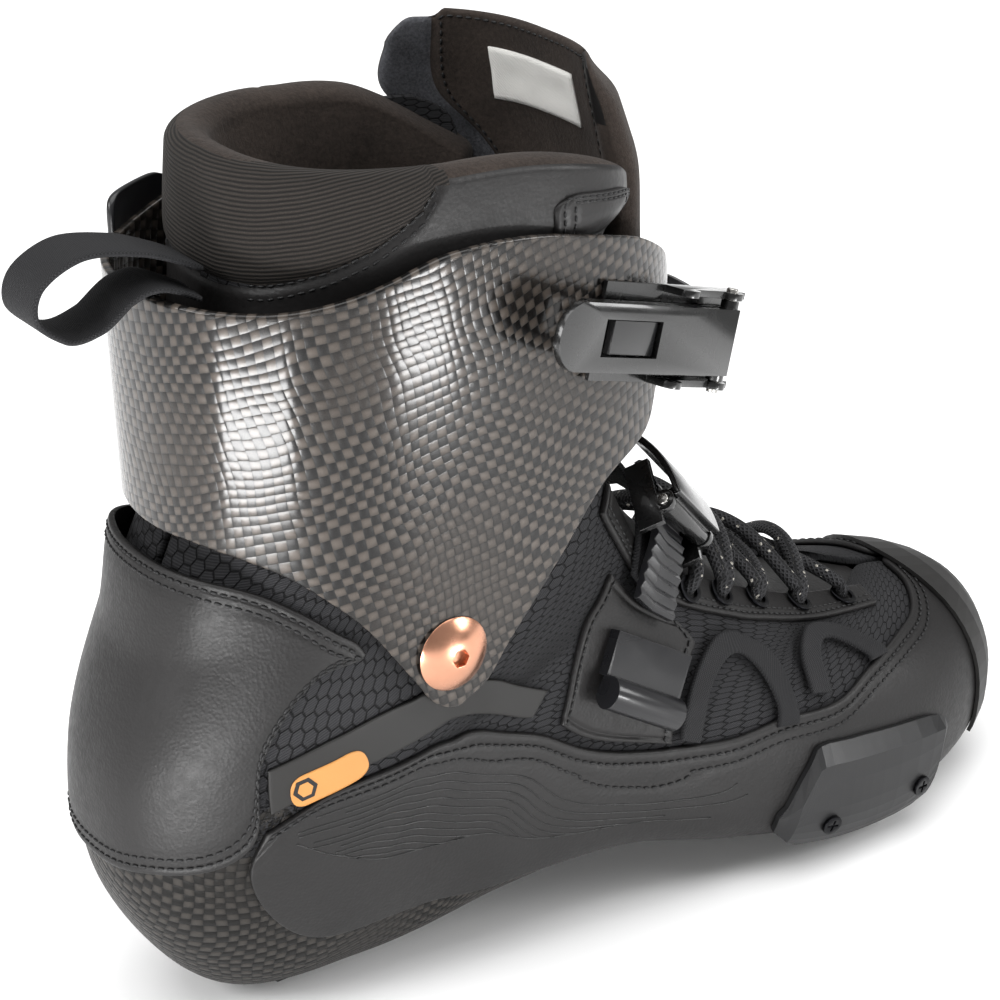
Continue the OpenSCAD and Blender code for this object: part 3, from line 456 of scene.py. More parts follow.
def napped_cloth(name, colour, light, spread=900.0):
    """Brushed suede cloth: a short nap, soft blotches where it was stroked, no shine."""
    m, tree, shader = finish_named(
        name, Roughness=0.95, Specular_IOR_Level=0.15, Sheen_Weight=0.06, Sheen_Roughness=0.45
    )
    p = place(tree)
    nap = noise(tree, p, spread, 4.0, Roughness=0.7)
    stroke = noise(tree, p, 55.0, 4.0, Roughness=0.6)
    fac = maths(tree, "MULTIPLY_ADD", stroke, 0.8, maths(tree, "MULTIPLY_ADD", nap, 1.1, -0.5))
    held = add(tree, "Clamp", {0: fac}).outputs[0]
    tree.links.new(blend_colours(tree, held, colour, light), shader.inputs["Base Color"])
    relief(tree, shader, maths(tree, "ADD", nap, maths(tree, "MULTIPLY", stroke, 0.5)), 0.35)
    return m


def webbing_cloth(name, colour, light, pitch_mm=0.9):
    """Woven polyester tape: a fine herringbone of raised picks."""
    m, tree, shader = finish_named(name, Roughness=0.78, Specular_IOR_Level=0.25)
    uv = place(tree, "UV")
    split = add(tree, "SeparateXYZ", {0: uv})
    picks = [
        maths(tree, "SINE", maths(tree, "MULTIPLY", split.outputs[k], 2 * math.pi / step))
        for k, step in ((0, pitch_mm), (1, pitch_mm * 0.8))
    ]
    weave = maths(tree, "MULTIPLY_ADD", maths(tree, "MULTIPLY", picks[0], picks[1]), 0.5, 0.5)
    tree.links.new(blend_colours(tree, weave, colour, light), shader.inputs["Base Color"])
    relief(tree, shader, weave, 0.18)
    return m


def braided_cord(name):
    """Round braided lace: crossing strands with a pale fleck thread in every few."""
    m, tree, shader = finish_named(name, Roughness=0.7, Specular_IOR_Level=0.3)
    uv = place(tree, "UV")
    split = add(tree, "SeparateXYZ", {0: uv})
    strands = [
        maths(
            tree,
            "SINE",
            maths(tree, "MULTIPLY", maths(tree, operation, split.outputs[0], split.outputs[1]), 2 * math.pi / 1.7),
        )
        for operation in ("ADD", "SUBTRACT")
    ]
    weave = maths(tree, "MAXIMUM", strands[0], strands[1])
    spot = add(tree, "TexVoronoi", {"Vector": uv, "Scale": 0.36, "Randomness": 0.85}).outputs["Distance"]
    fleck = maths(tree, "LESS_THAN", spot, 0.2)
    base = blend_colours(tree, maths(tree, "MULTIPLY_ADD", weave, 0.5, 0.5), "#08080a", "#2b2b2d")
    flecked = blend_colours(tree, maths(tree, "MULTIPLY", fleck, 0.75), base, "#b9b4aa")
    tree.links.new(flecked, shader.inputs["Base Color"])
    relief(tree, shader, weave, 0.3)
    return m


def moulded(name, colour, roughness, grain_mm=0.35, depth_mm=0.02, coat=0.0):
    """Injection moulded plastic with a fine spark-eroded grain."""
    m, tree, shader = finish_named(
        name, Roughness=roughness, Specular_IOR_Level=0.35, Coat_Weight=coat, Coat_Roughness=0.08
    )
    p = place(tree)
    grain = noise(tree, p, 1000 / grain_mm, 2.0)
    broad = noise(tree, p, 60.0, 2.0)
    lighter = "#" + "".join(f"{min(255, int(colour[i:i + 2], 16) + 10):02x}" for i in (1, 3, 5))
    tree.links.new(blend_colours(tree, broad, colour, lighter), shader.inputs["Base Color"])
    rough = add(tree, "MapRange", {0: broad, 1: 0.3, 2: 0.7, 3: roughness - 0.05, 4: roughness + 0.07}).outputs[0]
    tree.links.new(rough, shader.inputs["Roughness"])
    relief(tree, shader, grain, depth_mm)
    return m


def metal(name, colour, roughness, metallic=1.0, coat=0.0, streak=0.03):
    """Turned or pressed metal: faint handling marks change the shine."""
    m, tree, shader = finish_named(
        name, Metallic=metallic, Roughness=roughness, Coat_Weight=coat, Coat_Roughness=0.05
    )
    p = place(tree)
    mark = noise(tree, p, 160.0, 4.0, Distortion=0.6)
    darker = "#" + "".join(f"{int(int(colour[i:i + 2], 16) * 0.86):02x}" for i in (1, 3, 5))
    tree.links.new(blend_colours(tree, mark, darker, colour), shader.inputs["Base Color"])
    rough = add(tree, "MapRange", {0: mark, 1: 0.3, 2: 0.7, 3: roughness, 4: roughness + 3 * streak}).outputs[0]
    tree.links.new(rough, shader.inputs["Roughness"])
    relief(tree, shader, mark, streak * 0.1)
    return m


FINISH = {
    # each carbon finish gives a dark tow colour and a light one; the light one is a painted reflection
    "carbon_gloss": carbon_cloth("clear_coated_carbon_cloth", "#050404", "#4a433d", 0.42, 0.9, 2.5, 12),
    "carbon_satin": carbon_cloth("satin_carbon_cloth", "#0e0d0c", "#322f2c", 0.5, 0.12, 2.5, 45),
    "black_leather": leather("black_fine_grain_leather", "#121111", "#1f1e1e", 0.44),
    "collar_leather": leather("soft_nappa_leather", "#161515", "#232222", 0.4, 1.1, 0.06),
    "upper_textile": hex_mesh("hexagon_pressed_mesh", 4.2),
    "rib_textile": ribbed_cloth("corded_stretch_cloth", "#100f0e", "#37322e", 1.1, 0.22, 1),
    "suede_lining": napped_cloth("brushed_suede_lining", "#1a1614", "#413934"),
    "webbing": webbing_cloth("polyester_webbing", "#0a0a0b", "#2a2a2c"),
    "foam_edge": napped_cloth("speckled_foam_board", "#121213", "#6a6b70", 1400.0),
    "lace_cord": braided_cord("flecked_braided_lace"),
    "slider_plastic": moulded("hard_slider_polyurethane", "#131314", 0.4),
    "sole_plastic": moulded("satin_sole_plastic", "#0e0e0f", 0.5),
    "strap_plastic": moulded("ratchet_strap_nylon", "#111113", 0.3, coat=0.2),
    "black_plastic": moulded("gloss_release_plastic", "#0b0b0c", 0.2, coat=0.4),
    "toe_rubber": moulded("matte_toe_rubber", "#121110", 0.55),
    "buckle_metal": metal("gloss_black_lacquered_steel", "#090909", 0.22, 0.1, 0.5),
    "black_metal": metal("black_anodised_aluminium", "#202022", 0.3),
    "pin_steel": metal("polished_pin_steel", "#b8b6b2", 0.22),
    "insert_steel": metal("zinc_plated_steel", "#a9a8a4", 0.35),
    "copper_bolt": metal("copper_anodised_aluminium", "#dba184", 0.2),
    "gold_print": moulded("gold_transfer_print", "#a8733a", 0.45),
    "label_cloth": webbing_cloth("white_satin_label", "#e4e2dd", "#f6f5f1", 0.6),
    "insole_foam": napped_cloth("cloth_faced_foam", "#141416", "#2b2b30"),
    "stitch_thread": moulded("bonded_nylon_thread", "#0c0c0d", 0.5),
    "embossed_line": moulded("embossed_gloss_line", "#161616", 0.26, 0.5, 0.01),
}

# ---------------------------------------------------------------- meshes


def make(name, points, faces, finish, body, replaces=(), slot=None, uv=None, smooth=True, ids=None, more=()):
    """A mesh piece in its place: points in boot millimetres, faces as index rows."""
    mesh = bpy.data.meshes.new(name)
    co = (np.asarray(points, float).reshape(-1, 3) - [HEEL_X, 0, 0]) * MM
    mesh.from_pydata(co.tolist(), [], faces if isinstance(faces, list) else faces.tolist())
    for key in (finish, *more):
        mesh.materials.append(FINISH[key])
    mesh.polygons.foreach_set("use_smooth", np.full(len(mesh.polygons), smooth))
    if ids is not None:
        mesh.polygons.foreach_set("material_index", np.asarray(ids, np.int32))
    if uv is not None:
        layer = mesh.uv_layers.new(name="mm")
        loops = np.zeros(len(mesh.loops), np.int32)
        mesh.loops.foreach_get("vertex_index", loops)
        layer.data.foreach_set("uv", np.asarray(uv, np.float32).reshape(-1, 2)[loops].ravel())
    mesh.update()
    obj = bpy.data.objects.new(name, mesh)
    bpy.context.scene.collection.objects.link(obj)
    if body is not None:
        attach(obj, body)
    if replaces:
        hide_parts(*replaces)
    return obj


def grid_faces(m, n, start=0, flip=False):
    """Quads of an m by n grid of points."""
    i, j = np.meshgrid(np.arange(m - 1), np.arange(n - 1), indexing="ij")
    a = (start + i * n + j).ravel()
    quads = np.stack([a, a + 1, a + n + 1, a + n], -1)
    return quads[:, ::-1] if flip else quads


def slab(outer, inner):
    """Closed solid between two grids: two skins and a wall of quads round their border."""
    m, n = outer.shape[:2]
    k = m * n
    centre = outer[m // 2, n // 2]
    ahead = outer[m // 2 + 1, n // 2] - centre
    beside = outer[m // 2, n // 2 + 1] - centre
    flip = float(np.dot(np.cross(beside, ahead), centre - inner[m // 2, n // 2])) < 0
    ring = np.concatenate(
        [
            np.arange(n),
            np.arange(1, m) * n + n - 1,
            np.arange(n - 2, -1, -1) + (m - 1) * n,
            np.arange(m - 2, 0, -1) * n,
        ]
    )
    after = np.roll(ring, -1)
    wall = np.stack([after, ring, ring + k, after + k], -1)
    skins = [grid_faces(m, n, 0, flip), grid_faces(m, n, k, not flip), wall[:, ::-1] if flip else wall]
    points = np.concatenate([outer.reshape(-1, 3), inner.reshape(-1, 3)])
    return points, np.concatenate(skins)


def slab_piece(name, outer, inner, finish, body, replaces, slot, uv=None, **rest):
    """A closed slab as a piece; both skins share the coordinates of their cloth."""
    points, faces = slab(outer, inner)
    both = None if uv is None else np.concatenate([uv, uv])
    return make(name, points, faces, finish, body, replaces, slot, both, **rest)


def lengths(points, axis):
    """Running length of a grid of points along one axis."""
    steps = np.linalg.norm(np.diff(points, axis=axis), axis=-1)
    first = [slice(None)] * 2
    first[axis] = slice(0, 1)
    return np.concatenate([np.zeros_like(steps[tuple(first)]), np.cumsum(steps, axis=axis)], axis=axis)


def flat_uv(grid):
    """Millimetres along and across a grid."""
    return np.stack([lengths(grid, 0), lengths(grid, 1)], -1)


def running(points):
    """Running length of a line of points."""
    return np.concatenate([[0], np.cumsum(np.linalg.norm(np.diff(points, axis=0), axis=1))])


EDGE_MM = np.array([0, 0.1, 0.3, 0.6, 1.0, 1.5, 1.9, 2.3, 2.7, 3.2])
EDGE_RISE = np.array([0.25, 0.62, 0.86, 0.97, 1, 1, 1, 1, 1, 1])


def spread(width, inner_count):
    """Shares of each row's width: close rows at both edges, even ones between."""
    near = np.minimum(EDGE_MM[None, :], width[:, None] * np.linspace(0, 0.42, len(EDGE_MM))[None, :])
    near = near / np.maximum(width[:, None], 1e-6)
    start = near[:, -1:]
    mid = start + (1 - 2 * start) * np.linspace(0, 1, inner_count + 2)[None, 1:-1]
    return np.concatenate([near, mid, 1 - near[:, ::-1]], 1)


def panel_grid(ca, cb, nu, nv):
    """Surface coordinates of a panel between two edge curves, and each point's distance from the border."""
    ca, cb = np.asarray(ca, float), np.asarray(cb, float)

    def rows(u):
        return table_at(ca, u * (len(ca) - 1)), table_at(cb, u * (len(cb) - 1))

    u = np.linspace(0, 1, 240)
    p, q = rows(u)
    middle = boot((p[:, 0] + q[:, 0]) / 2, (p[:, 1] + q[:, 1]) / 2)
    run = running(middle)
    marks = spread(run[-1:], nu)[0] * run[-1]
    u = np.interp(marks, run, u)
    p, q = rows(u)
    ends = [on_boot(c[:, 0], c[:, 1], 1.0 + 0 * u) for c in (p, q)]
    width = np.linalg.norm(ends[0] - ends[1], axis=-1)
    share = spread(width, nv)
    g = p[:, None] + (q - p)[:, None] * share[..., None]
    from_side = np.minimum(share, 1 - share) * width[:, None]
    from_end = np.minimum(marks, run[-1] - marks)[:, None] + 0 * share
    return g[..., 0], g[..., 1], from_side, from_end, share


def rise(distance):
    """Rounded edge profile: share of the full height at that distance from the border."""
    return np.interp(distance, EDGE_MM, EDGE_RISE)


SEAM_DENT, SEAM_DENT_W = 0.28, 0.45  # depth and reach of the dent a seam pulls in, mm
SKIN_UNDER = 0.3  # how far a panel's back sinks into what it lies on, mm


def panel(name, ca, cb, low, high, finish, replaces, slot, nu=120, nv=16, seams=(), extra=None):
    """A sewn panel: a strip of the boot surface between two edges, with round edges and a dent along each seam."""
    t, a, side, end, share = panel_grid(ca, cb, nu, nv)
    height = low + (high - low) * rise(np.minimum(side, end))
    for at, which in seams:
        d = side if which == "both" else np.where((share < 0.5) == (which == "first"), side, 99.0)
        height = height - SEAM_DENT * np.exp(-(((np.minimum(d, end) - at) / SEAM_DENT_W) ** 2))
    lift = 0 * t if extra is None else extra(t, a)
    outer, inner = on_boot(t, a, height + lift), on_boot(t, a, low + lift - SKIN_UNDER)
    return slab_piece(name, outer, inner, finish, "boot", replaces, slot, flat_uv(outer))


STITCH_SHARE, STITCH_W, STITCH_H = 0.72, 0.75, 0.7  # share of the pitch, width and height in mm
BEAD = np.array([[math.cos(k * math.pi / 3), math.sin(k * math.pi / 3)] for k in range(6)])


def stitch_mesh(centres, ahead, up, length):
    """Stitches as short six sided beads, thin at both ends: every ring is scaled by a half sine."""
    side = np.cross(up, ahead)
    shares = np.array([-0.5, -0.36, 0.0, 0.36, 0.5])
    swell = np.array([0.25, 0.8, 1.0, 0.8, 0.25])
    ring = (
        centres[:, None, None]
        + ahead[:, None, None] * (shares * length)[None, :, None, None]
        + side[:, None, None] * (BEAD[:, 0] * STITCH_W / 2)[None, None, :, None] * swell[None, :, None, None]
        + up[:, None, None] * (BEAD[:, 1] * STITCH_H / 2)[None, None, :, None] * swell[None, :, None, None]
    )
    k = np.arange(6)
    one = [
        np.stack([r * 6 + k, r * 6 + (k + 1) % 6, (r + 1) * 6 + (k + 1) % 6, (r + 1) * 6 + k], -1) for r in range(4)
    ]
    quads = np.concatenate(one)
    caps = np.array([[3, 2, 1, 0], [5, 4, 3, 0], [24, 25, 26, 27], [24, 27, 28, 29]])
    faces = np.concatenate([quads[:, ::-1], caps[:, ::-1]])
    count = len(centres)
    return ring.reshape(-1, 3), (faces[None] + (np.arange(count) * 30)[:, None, None]).reshape(-1, 4)


def row_of_stitches(points, ups, pitch):
    """Beads placed evenly along a line of points."""
    run = running(points)
    count = max(2, int(run[-1] / pitch))
    s = (np.arange(count) + 0.5) * run[-1] / count

    def at(where, rows):
        return np.stack([np.interp(where, run, rows[:, k]) for k in range(3)], -1)

    ahead = unit(at(s + 0.3, points) - at(s - 0.3, points))
    return stitch_mesh(at(s, points), ahead, unit(at(s, ups)), pitch * STITCH_SHARE)


def seam_line(ca, cb, at_mm, which, o, u0=0.0, u1=1.0, count=400):
    """Line on the boot that keeps a distance from one edge of a panel, at height o."""
    ca, cb = np.asarray(ca, float), np.asarray(cb, float)
    u = np.linspace(u0, u1, count)
    p, q = table_at(ca, u * (len(ca) - 1)), table_at(cb, u * (len(cb) - 1))
    if which == "second":
        p, q = q, p
    width = np.linalg.norm(boot(p[:, 0], p[:, 1]) - boot(q[:, 0], q[:, 1]), axis=-1)
    share = np.minimum(at_mm / np.maximum(width, 1e-6), 0.5)
    g = p + (q - p) * share[:, None]
    height = o(g[:, 0], g[:, 1]) if callable(o) else o + 0 * u
    return on_boot(g[:, 0], g[:, 1], height), boot_normal(g[:, 0], g[:, 1])


def sew(name, lines, pitch, slot="black_leather"):
    """One piece of all the stitches along several lines."""
    points, faces, count = [], [], 0
    for line, ups in lines:
        p, f = row_of_stitches(line, ups, pitch)
        points.append(p)
        faces.append(f + count)
        count += len(p)
    return make(name, np.concatenate(points), np.concatenate(faces), "stitch_thread", "boot", (), slot)


def tube(path, radius, sides=14, squash_v=1.0):
    """Closed round tube along a path: rings in the plane across it, each turned towards one fixed direction."""
    path = np.asarray(path, float)
    n = len(path)
    tangent = unit(np.gradient(path, axis=0))
    hint = np.array([0.0, 0.2, 1.0])
    first = unit(hint - tangent * (tangent @ hint)[:, None])
    second = np.cross(tangent, first)
    k = np.arange(sides) * 2 * math.pi / sides
    rings = path[:, None] + radius * (
        first[:, None] * np.cos(k)[None, :, None] * squash_v + second[:, None] * np.sin(k)[None, :, None]
    )
    i, j = np.meshgrid(np.arange(n - 1), np.arange(sides), indexing="ij")
    a, b = (i * sides + j).ravel(), (i * sides + (j + 1) % sides).ravel()
    faces = np.stack([a, b, b + sides, a + sides], -1).tolist()
    faces.append(list(range(sides - 1, -1, -1)))
    faces.append([(n - 1) * sides + x for x in range(sides)])
    run = running(path)
    around = np.arange(sides) * (2 * math.pi * radius / sides)
    uv = np.stack(np.broadcast_arrays(run[:, None], around[None, :]), -1)
    return rings.reshape(-1, 3), faces, uv.reshape(-1, 2)


def smooth_path(points, count):
    """A cubic curve through the points."""
    points = np.asarray(points, float)
    return table_at(points, np.linspace(0, len(points) - 1, count))


def refined(node, finish, bevel_mm=0.35, segments=3):
    """A copy of a hard CAD part with its points joined and its edges rounded, shown in its place."""
    source = frame["nodes"][node]
    mesh = source.data.copy()
    mesh.name = node + "_rounded"
    obj = bpy.data.objects.new(node + "_rounded", mesh)
    bpy.context.scene.collection.objects.link(obj)
    bm = bmesh.new()
    bm.from_mesh(mesh)
    bmesh.ops.remove_doubles(bm, verts=bm.verts, dist=1e-6)
    bmesh.ops.dissolve_limit(bm, angle_limit=math.radians(1.0), verts=bm.verts, edges=bm.edges)
    bm.to_mesh(mesh)
    bm.free()
    mesh.materials.clear()
    mesh.materials.append(FINISH[finish])
    mesh.polygons.foreach_set("use_smooth", np.full(len(mesh.polygons), True))
    cut = obj.modifiers.new("round_edges", "BEVEL")
    cut.width, cut.segments, cut.limit_method = bevel_mm * MM, segments, "ANGLE"
    cut.angle_limit = math.radians(38)
    cut.harden_normals = True
    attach(obj, source["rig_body"])
    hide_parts(node)
    return obj


# ---------------------------------------------------------------- camera

AZIMUTH, ELEVATION, ROLL = (math.radians(v) for v in (-33.8505, 25.5554, -1.8894))
TARGET = Vector((0.072222, 0.0, 0.111962))
DISTANCE = 0.8138
FOCAL_SHARE = 3.101  # focal length over the frame's width
SENSOR_MM = 36.0

flat = math.cos(ELEVATION)
back = Vector((math.sin(AZIMUTH) * flat, -math.cos(AZIMUTH) * flat, math.sin(ELEVATION)))
level = Vector((math.cos(AZIMUTH), math.sin(AZIMUTH), 0))
rise_axis = back.cross(level)
right = math.cos(ROLL) * level + math.sin(ROLL) * rise_axis
up = -math.sin(ROLL) * level + math.cos(ROLL) * rise_axis
camera = bpy.data.objects.new("camera", bpy.data.cameras.new("camera"))
bpy.context.scene.collection.objects.link(camera)
camera.data.sensor_width = SENSOR_MM
camera.data.lens = FOCAL_SHARE * SENSOR_MM
camera.data.clip_start, camera.data.clip_end = 0.05, 20
turn = Matrix((right, up, back)).transposed().to_4x4()
camera.matrix_world = Matrix.Translation(TARGET + back * DISTANCE) @ turn
bpy.context.scene.camera = camera

# ---------------------------------------------------------------- panels of the boot


def flare(t, a):
    """The counter's top edge stands off the liner at the back."""
    return 5.0 * ramp((t - 11.9) / 0.8) * ramp((56 - np.abs(a)) / 30)


UPPER_T, SOLE_T, CUFF_T = 2.0, 2.4, 2.2  # wall thicknesses, mm
SIDES = (("lateral", np.array), ("medial", other_side))


def build_uppers():
    """Textile upper of each side, laid on the boot surface."""
    for side, pick in SIDES:
        t, a, edge, _, _ = panel_grid(pick(UPPER_LOW), pick(UPPER_HIGH), 200, 90)
        outer = on_boot(t, a, -UPPER_T + UPPER_T * rise(edge))
        inner = on_boot(t, a, -UPPER_T + 0 * t)
        along = lengths(boot(t, a), 0)[:, t.shape[1] // 3][:, None] + 0 * t
        uv = np.stack([along, lengths(outer, 1)], -1)
        slab_piece("upper_cloth_" + side, outer, inner, "upper_textile", "boot", ["upper_" + side],
                   "upper_textile", uv)


def build_sole():
    """Carbon sole: a smooth bowl with its edge rounded."""
    t, a, edge, _, _ = panel_grid(SOLE_EDGE, other_side(SOLE_EDGE), 160, 90)
    outer = on_boot(t, a, -SOLE_T + SOLE_T * rise(edge))
    inner = on_boot(t, a, -SOLE_T + 0 * t)
    uv = np.stack([lengths(outer, 0)[:, t.shape[1] // 2][:, None] + 0 * t, lengths(outer, 1)], -1)
    slab_piece("carbon_sole_bowl", outer, inner, "carbon_satin", "boot", ["sole_shell"], "carbon_satin", uv)


def build_leather():
    """Counter, rands, bands, side panels and eyestays, with their stitches."""
    panel("heel_counter_leather", COUNTER_TOP, COUNTER_LOW, PANEL_IN, PANEL_OUT, "black_leather", ["heel_counter"],
          "black_leather", 150, 40, [(2.2, "both"), (4.6, "both")], flare)

    def counter_height(t, a):
        return PANEL_OUT + 0.02 + flare(t, a)

    rows = [seam_line(COUNTER_TOP, COUNTER_LOW, at, which, counter_height, 0.012, 0.988, 700)
            for at, which in ((2.2, "first"), (4.6, "first"), (2.2, "second"), (4.6, "second"))]
    sew("counter_stitches", rows, 2.5)
    for side, pick in SIDES:
        panel("rand_leather_" + side, pick(RAND_TOP), pick(RAND_LOW), PANEL_IN, PANEL_OUT, "black_leather",
              ["rand_" + side], "black_leather", 220, 34, [(2.2, "first"), (4.4, "first")])
        sew("rand_stitches_" + side,
            [seam_line(pick(RAND_TOP), pick(RAND_LOW), at, "first", PANEL_OUT + 0.02, 0.01, 0.8, 900)
             for at in (2.2, 4.4)], 2.5)
        panel("side_band_" + side + "_skin", pick(BAND_TOP), pick(BAND_LOW), PANEL_IN, PANEL_IN + 0.6, "toe_rubber",
              ["side_band_" + side], "black_leather", 60, 8)
        panel("side_panel_" + side + "_leather", pick(SIDE_REAR), pick(SIDE_FRONT), PANEL_IN, PANEL_OUT - 0.1,
              "black_leather", ["side_panel_" + side], "black_leather", 60, 24, [(2.0, "first"), (2.0, "second")])
        sew("side_panel_stitches_" + side,
            [seam_line(pick(SIDE_REAR), pick(SIDE_FRONT), 2.0, which, PANEL_OUT - 0.08, 0.02, 0.98)
             for which in ("first", "second")], 2.4)
        panel("eyestay_" + side + "_leather", pick(EYESTAY_OUT), pick(EYESTAY_IN), PANEL_IN, PANEL_OUT,
              "black_leather", ["eyestay_" + side], "black_leather", 110, 10, [(1.9, "first")])
        sew("eyestay_stitches_" + side,
            [seam_line(pick(EYESTAY_OUT), pick(EYESTAY_IN), at, "first", PANEL_OUT + 0.02, 0.02, 0.98)
             for at in (1.6, 3.4)], 2.3)


build_uppers()
build_sole()
build_leather()

# ---------------------------------------------------------------- cuff


CUFF_RUN = 330  # length of the cuff's rim, mm


def build_cuff():
    """Hinged carbon cuff: a strip of the cuff surface with rounded rims."""
    top, low = both_sides(CUFF_TOP_HALF, 198), both_sides(CUFF_LOW_HALF, 136.5)
    u = np.linspace(0, 1, 260)
    p, q = table_at(top, u * (len(top) - 1)), table_at(low, u * (len(low) - 1))
    zero = 0 * u
    width = np.linalg.norm(on_cuff(p[:, 0], p[:, 1], zero) - on_cuff(q[:, 0], q[:, 1], zero), axis=-1)
    share = spread(width, 60)
    g = p[:, None] + (q - p)[:, None] * share[..., None]
    edge = np.minimum(share, 1 - share) * width[:, None]
    step = np.minimum(u, 1 - u)[:, None] * CUFF_RUN + 0 * edge
    sink = (1 - rise(np.minimum(edge, step))) * 0.9
    outer = on_cuff(g[..., 0], g[..., 1], -sink)
    inner = on_cuff(g[..., 0], g[..., 1], -CUFF_T + sink)
    around = lengths(on_cuff(170 + 0 * g[..., 0], g[..., 1], 0 * g[..., 0]), 0)
    uv = np.stack([around, g[..., 0]], -1)
    slab_piece("carbon_cuff_shell", outer, inner, "carbon_gloss", "cuff", ["cuff_shell"], "carbon_gloss", uv)


def build_cuff_plate():
    """Black plate on the inner side of the cuff's rim: a patch of the cuff surface with round corners."""
    u, v = np.meshgrid(np.linspace(-1, 1, 50), np.linspace(-1, 1, 60), indexing="ij")
    angle = 57 + 13 * u * (1 - 0.12 * np.abs(v) ** 8)
    z = 192 + 14.5 * v * (1 - 0.12 * np.abs(u) ** 6)
    border = np.minimum((1 - np.abs(u)) * 10, (1 - np.abs(v)) * 14)
    outer = on_cuff(z, angle, 0.3 + 1.2 * rise(border))
    inner = on_cuff(z, angle, -0.6 + 0 * z)
    slab_piece("cuff_inner_plate", outer, inner, "strap_plastic", "cuff", (), "strap_plastic")


build_cuff()
build_cuff_plate()

# ---------------------------------------------------------------- collar, tongue and soft straps

SEAM_X, SEAM_Z = [40, 44, 48, 58, 69, 80, 89], [197, 198, 199, 203, 208, 215, 226]


def collar_swell(p):
    """The collar's outside stands proud once clear of the cuff, and most at its front corners."""
    corner = np.exp(-(((p[..., 0] - 134) / 20) ** 2)) * np.clip(np.abs(p[..., 1]) / 30, 0, 1)
    return 0.35 + (1.3 + 5.5 * corner) * ramp((p[..., 2] - 192) / 13)


def leather_side(p):
    """True where the collar's outside is leather, below and in front of the sloping seam."""
    return p[..., 2] < np.interp(p[..., 0], SEAM_X, SEAM_Z, right=400)


def seam_gap(p):
    """Distance from the sloping seam, in millimetres."""
    return np.where(p[..., 0] < 92, np.abs(p[..., 2] - np.interp(p[..., 0], SEAM_X, SEAM_Z)) * 0.85, 30)


COLLAR_FOOT, LINING_FOOT = 13.8, 12.6  # stations where the outside and the lining end
PAD_DEPTH = 9.5  # how far the lining lies inside the boot surface, mm


def build_collar():
    """Padded collar: a closed ring of sections, up the outside, over a round roll and down the lining."""
    ns, n_out, n_roll, n_in = 340, 70, 26, 44
    s = np.linspace(0, 1, ns)
    rim = table_at(RIM, s * (len(RIM) - 1))
    top = rim[:, :1] - 0.12
    out_w = np.linspace(0, 1, n_out)[None]
    t_out = COLLAR_FOOT + (top - COLLAR_FOOT) * out_w
    roll = np.linspace(0, math.pi, n_roll + 2)[None, 1:-1]
    t_roll = top + 0.27 * np.sin(roll)
    in_w = np.linspace(0, 1, n_in)[None]
    t_in = top + (LINING_FOOT - top) * in_w
    a = rim[:, 1:] + 0 * out_w
    base = boot(t_out, a)
    dent = 1.1 * np.exp(-((seam_gap(base) / 1.3) ** 2)) * (base[..., 2] > 190)
    o_out = collar_swell(base) - dent
    o_top = o_out[:, -1:]
    mid, half = (o_top - PAD_DEPTH) / 2, (o_top + PAD_DEPTH) / 2
    o_roll = mid + half * np.cos(roll)
    swell = np.sin(np.pi * np.clip(in_w * 1.4, 0, 1)) * 3.0
    o_in = -PAD_DEPTH - swell + 0 * t_in
    t = np.concatenate([t_out, t_roll, t_in], 1)
    o = np.concatenate([o_out, o_roll, o_in], 1)
    close = np.sqrt(np.clip(1 - ((np.abs(s - 0.5) - 0.475) / 0.025).clip(0, 1) ** 2, 0.02, 1))[:, None]
    centre = -3.6
    o = centre + (o - centre) * close
    t = np.where(t > COLLAR_FOOT, COLLAR_FOOT + (t - COLLAR_FOOT) * (0.9 + 0.1 * close), t)
    p = on_boot(t, a[:, :1] + 0 * t, o)
    m, n = p.shape[:2]
    i, j = np.meshgrid(np.arange(m - 1), np.arange(n), indexing="ij")
    k = (j + 1) % n
    faces = np.stack([i * n + j, (i + 1) * n + j, (i + 1) * n + k, i * n + k], -1).reshape(-1, 4)
    quad = (p[:-1] + p[1:] + np.roll(p, -1, 1)[:-1] + np.roll(p, -1, 1)[1:]) / 4
    place_roll = np.concatenate([np.full(n_out, -1.0), roll[0] / math.pi, np.full(n_in, 2.0)])[None]
    angle = rim[:-1, 1:]
    leather_here = leather_side(quad)
    lining_from = np.where(angle > -10, 0.32, 0.32 + 0.5 * ramp((-angle - 10) / 40))
    lining_from = np.where(quad[..., 0] > 87, 0.12, lining_from)
    ids = np.where(place_roll > lining_from, 2, np.where(leather_here & (place_roll < 0), 1, 0))
    ids = np.where((quad[..., 0] > 87) & (ids == 0), 1, ids)
    faces = faces.tolist() + [list(range(n)), [(m - 1) * n + x for x in range(n - 1, -1, -1)]]
    ids = np.concatenate([ids.ravel(), [2, 2]])
    length = lengths(p, 0)[:, n_out][:, None] + 0 * t
    uv = np.stack([length, lengths(p, 1)], -1)
    obj = make("collar_padded_roll", p, faces, "rib_textile", "boot", ["collar_padding"], "suede_lining", uv,
               ids=ids, more=("collar_leather", "suede_lining"))


def collar_line(points_xz, side):
    """Points on the collar's outside that have the given x and z, found on a fine table of the surface."""
    a = np.linspace(20, 150, 400)[None] * side
    t = np.linspace(COLLAR_FOOT, 16.7, 300)[:, None] + 0 * a
    base = boot(t, a + 0 * t)
    found = []
    for x, z in points_xz:
        k = np.argmin((base[..., 0] - x) ** 2 + (base[..., 2] - z) ** 2)
        found.append((t.ravel()[k], (a + 0 * t).ravel()[k]))
    return np.array(found)


def on_collar(t, a, extra):
    """Point over the collar's outside."""
    return on_boot(t, a, collar_swell(boot(t, a)) + extra)


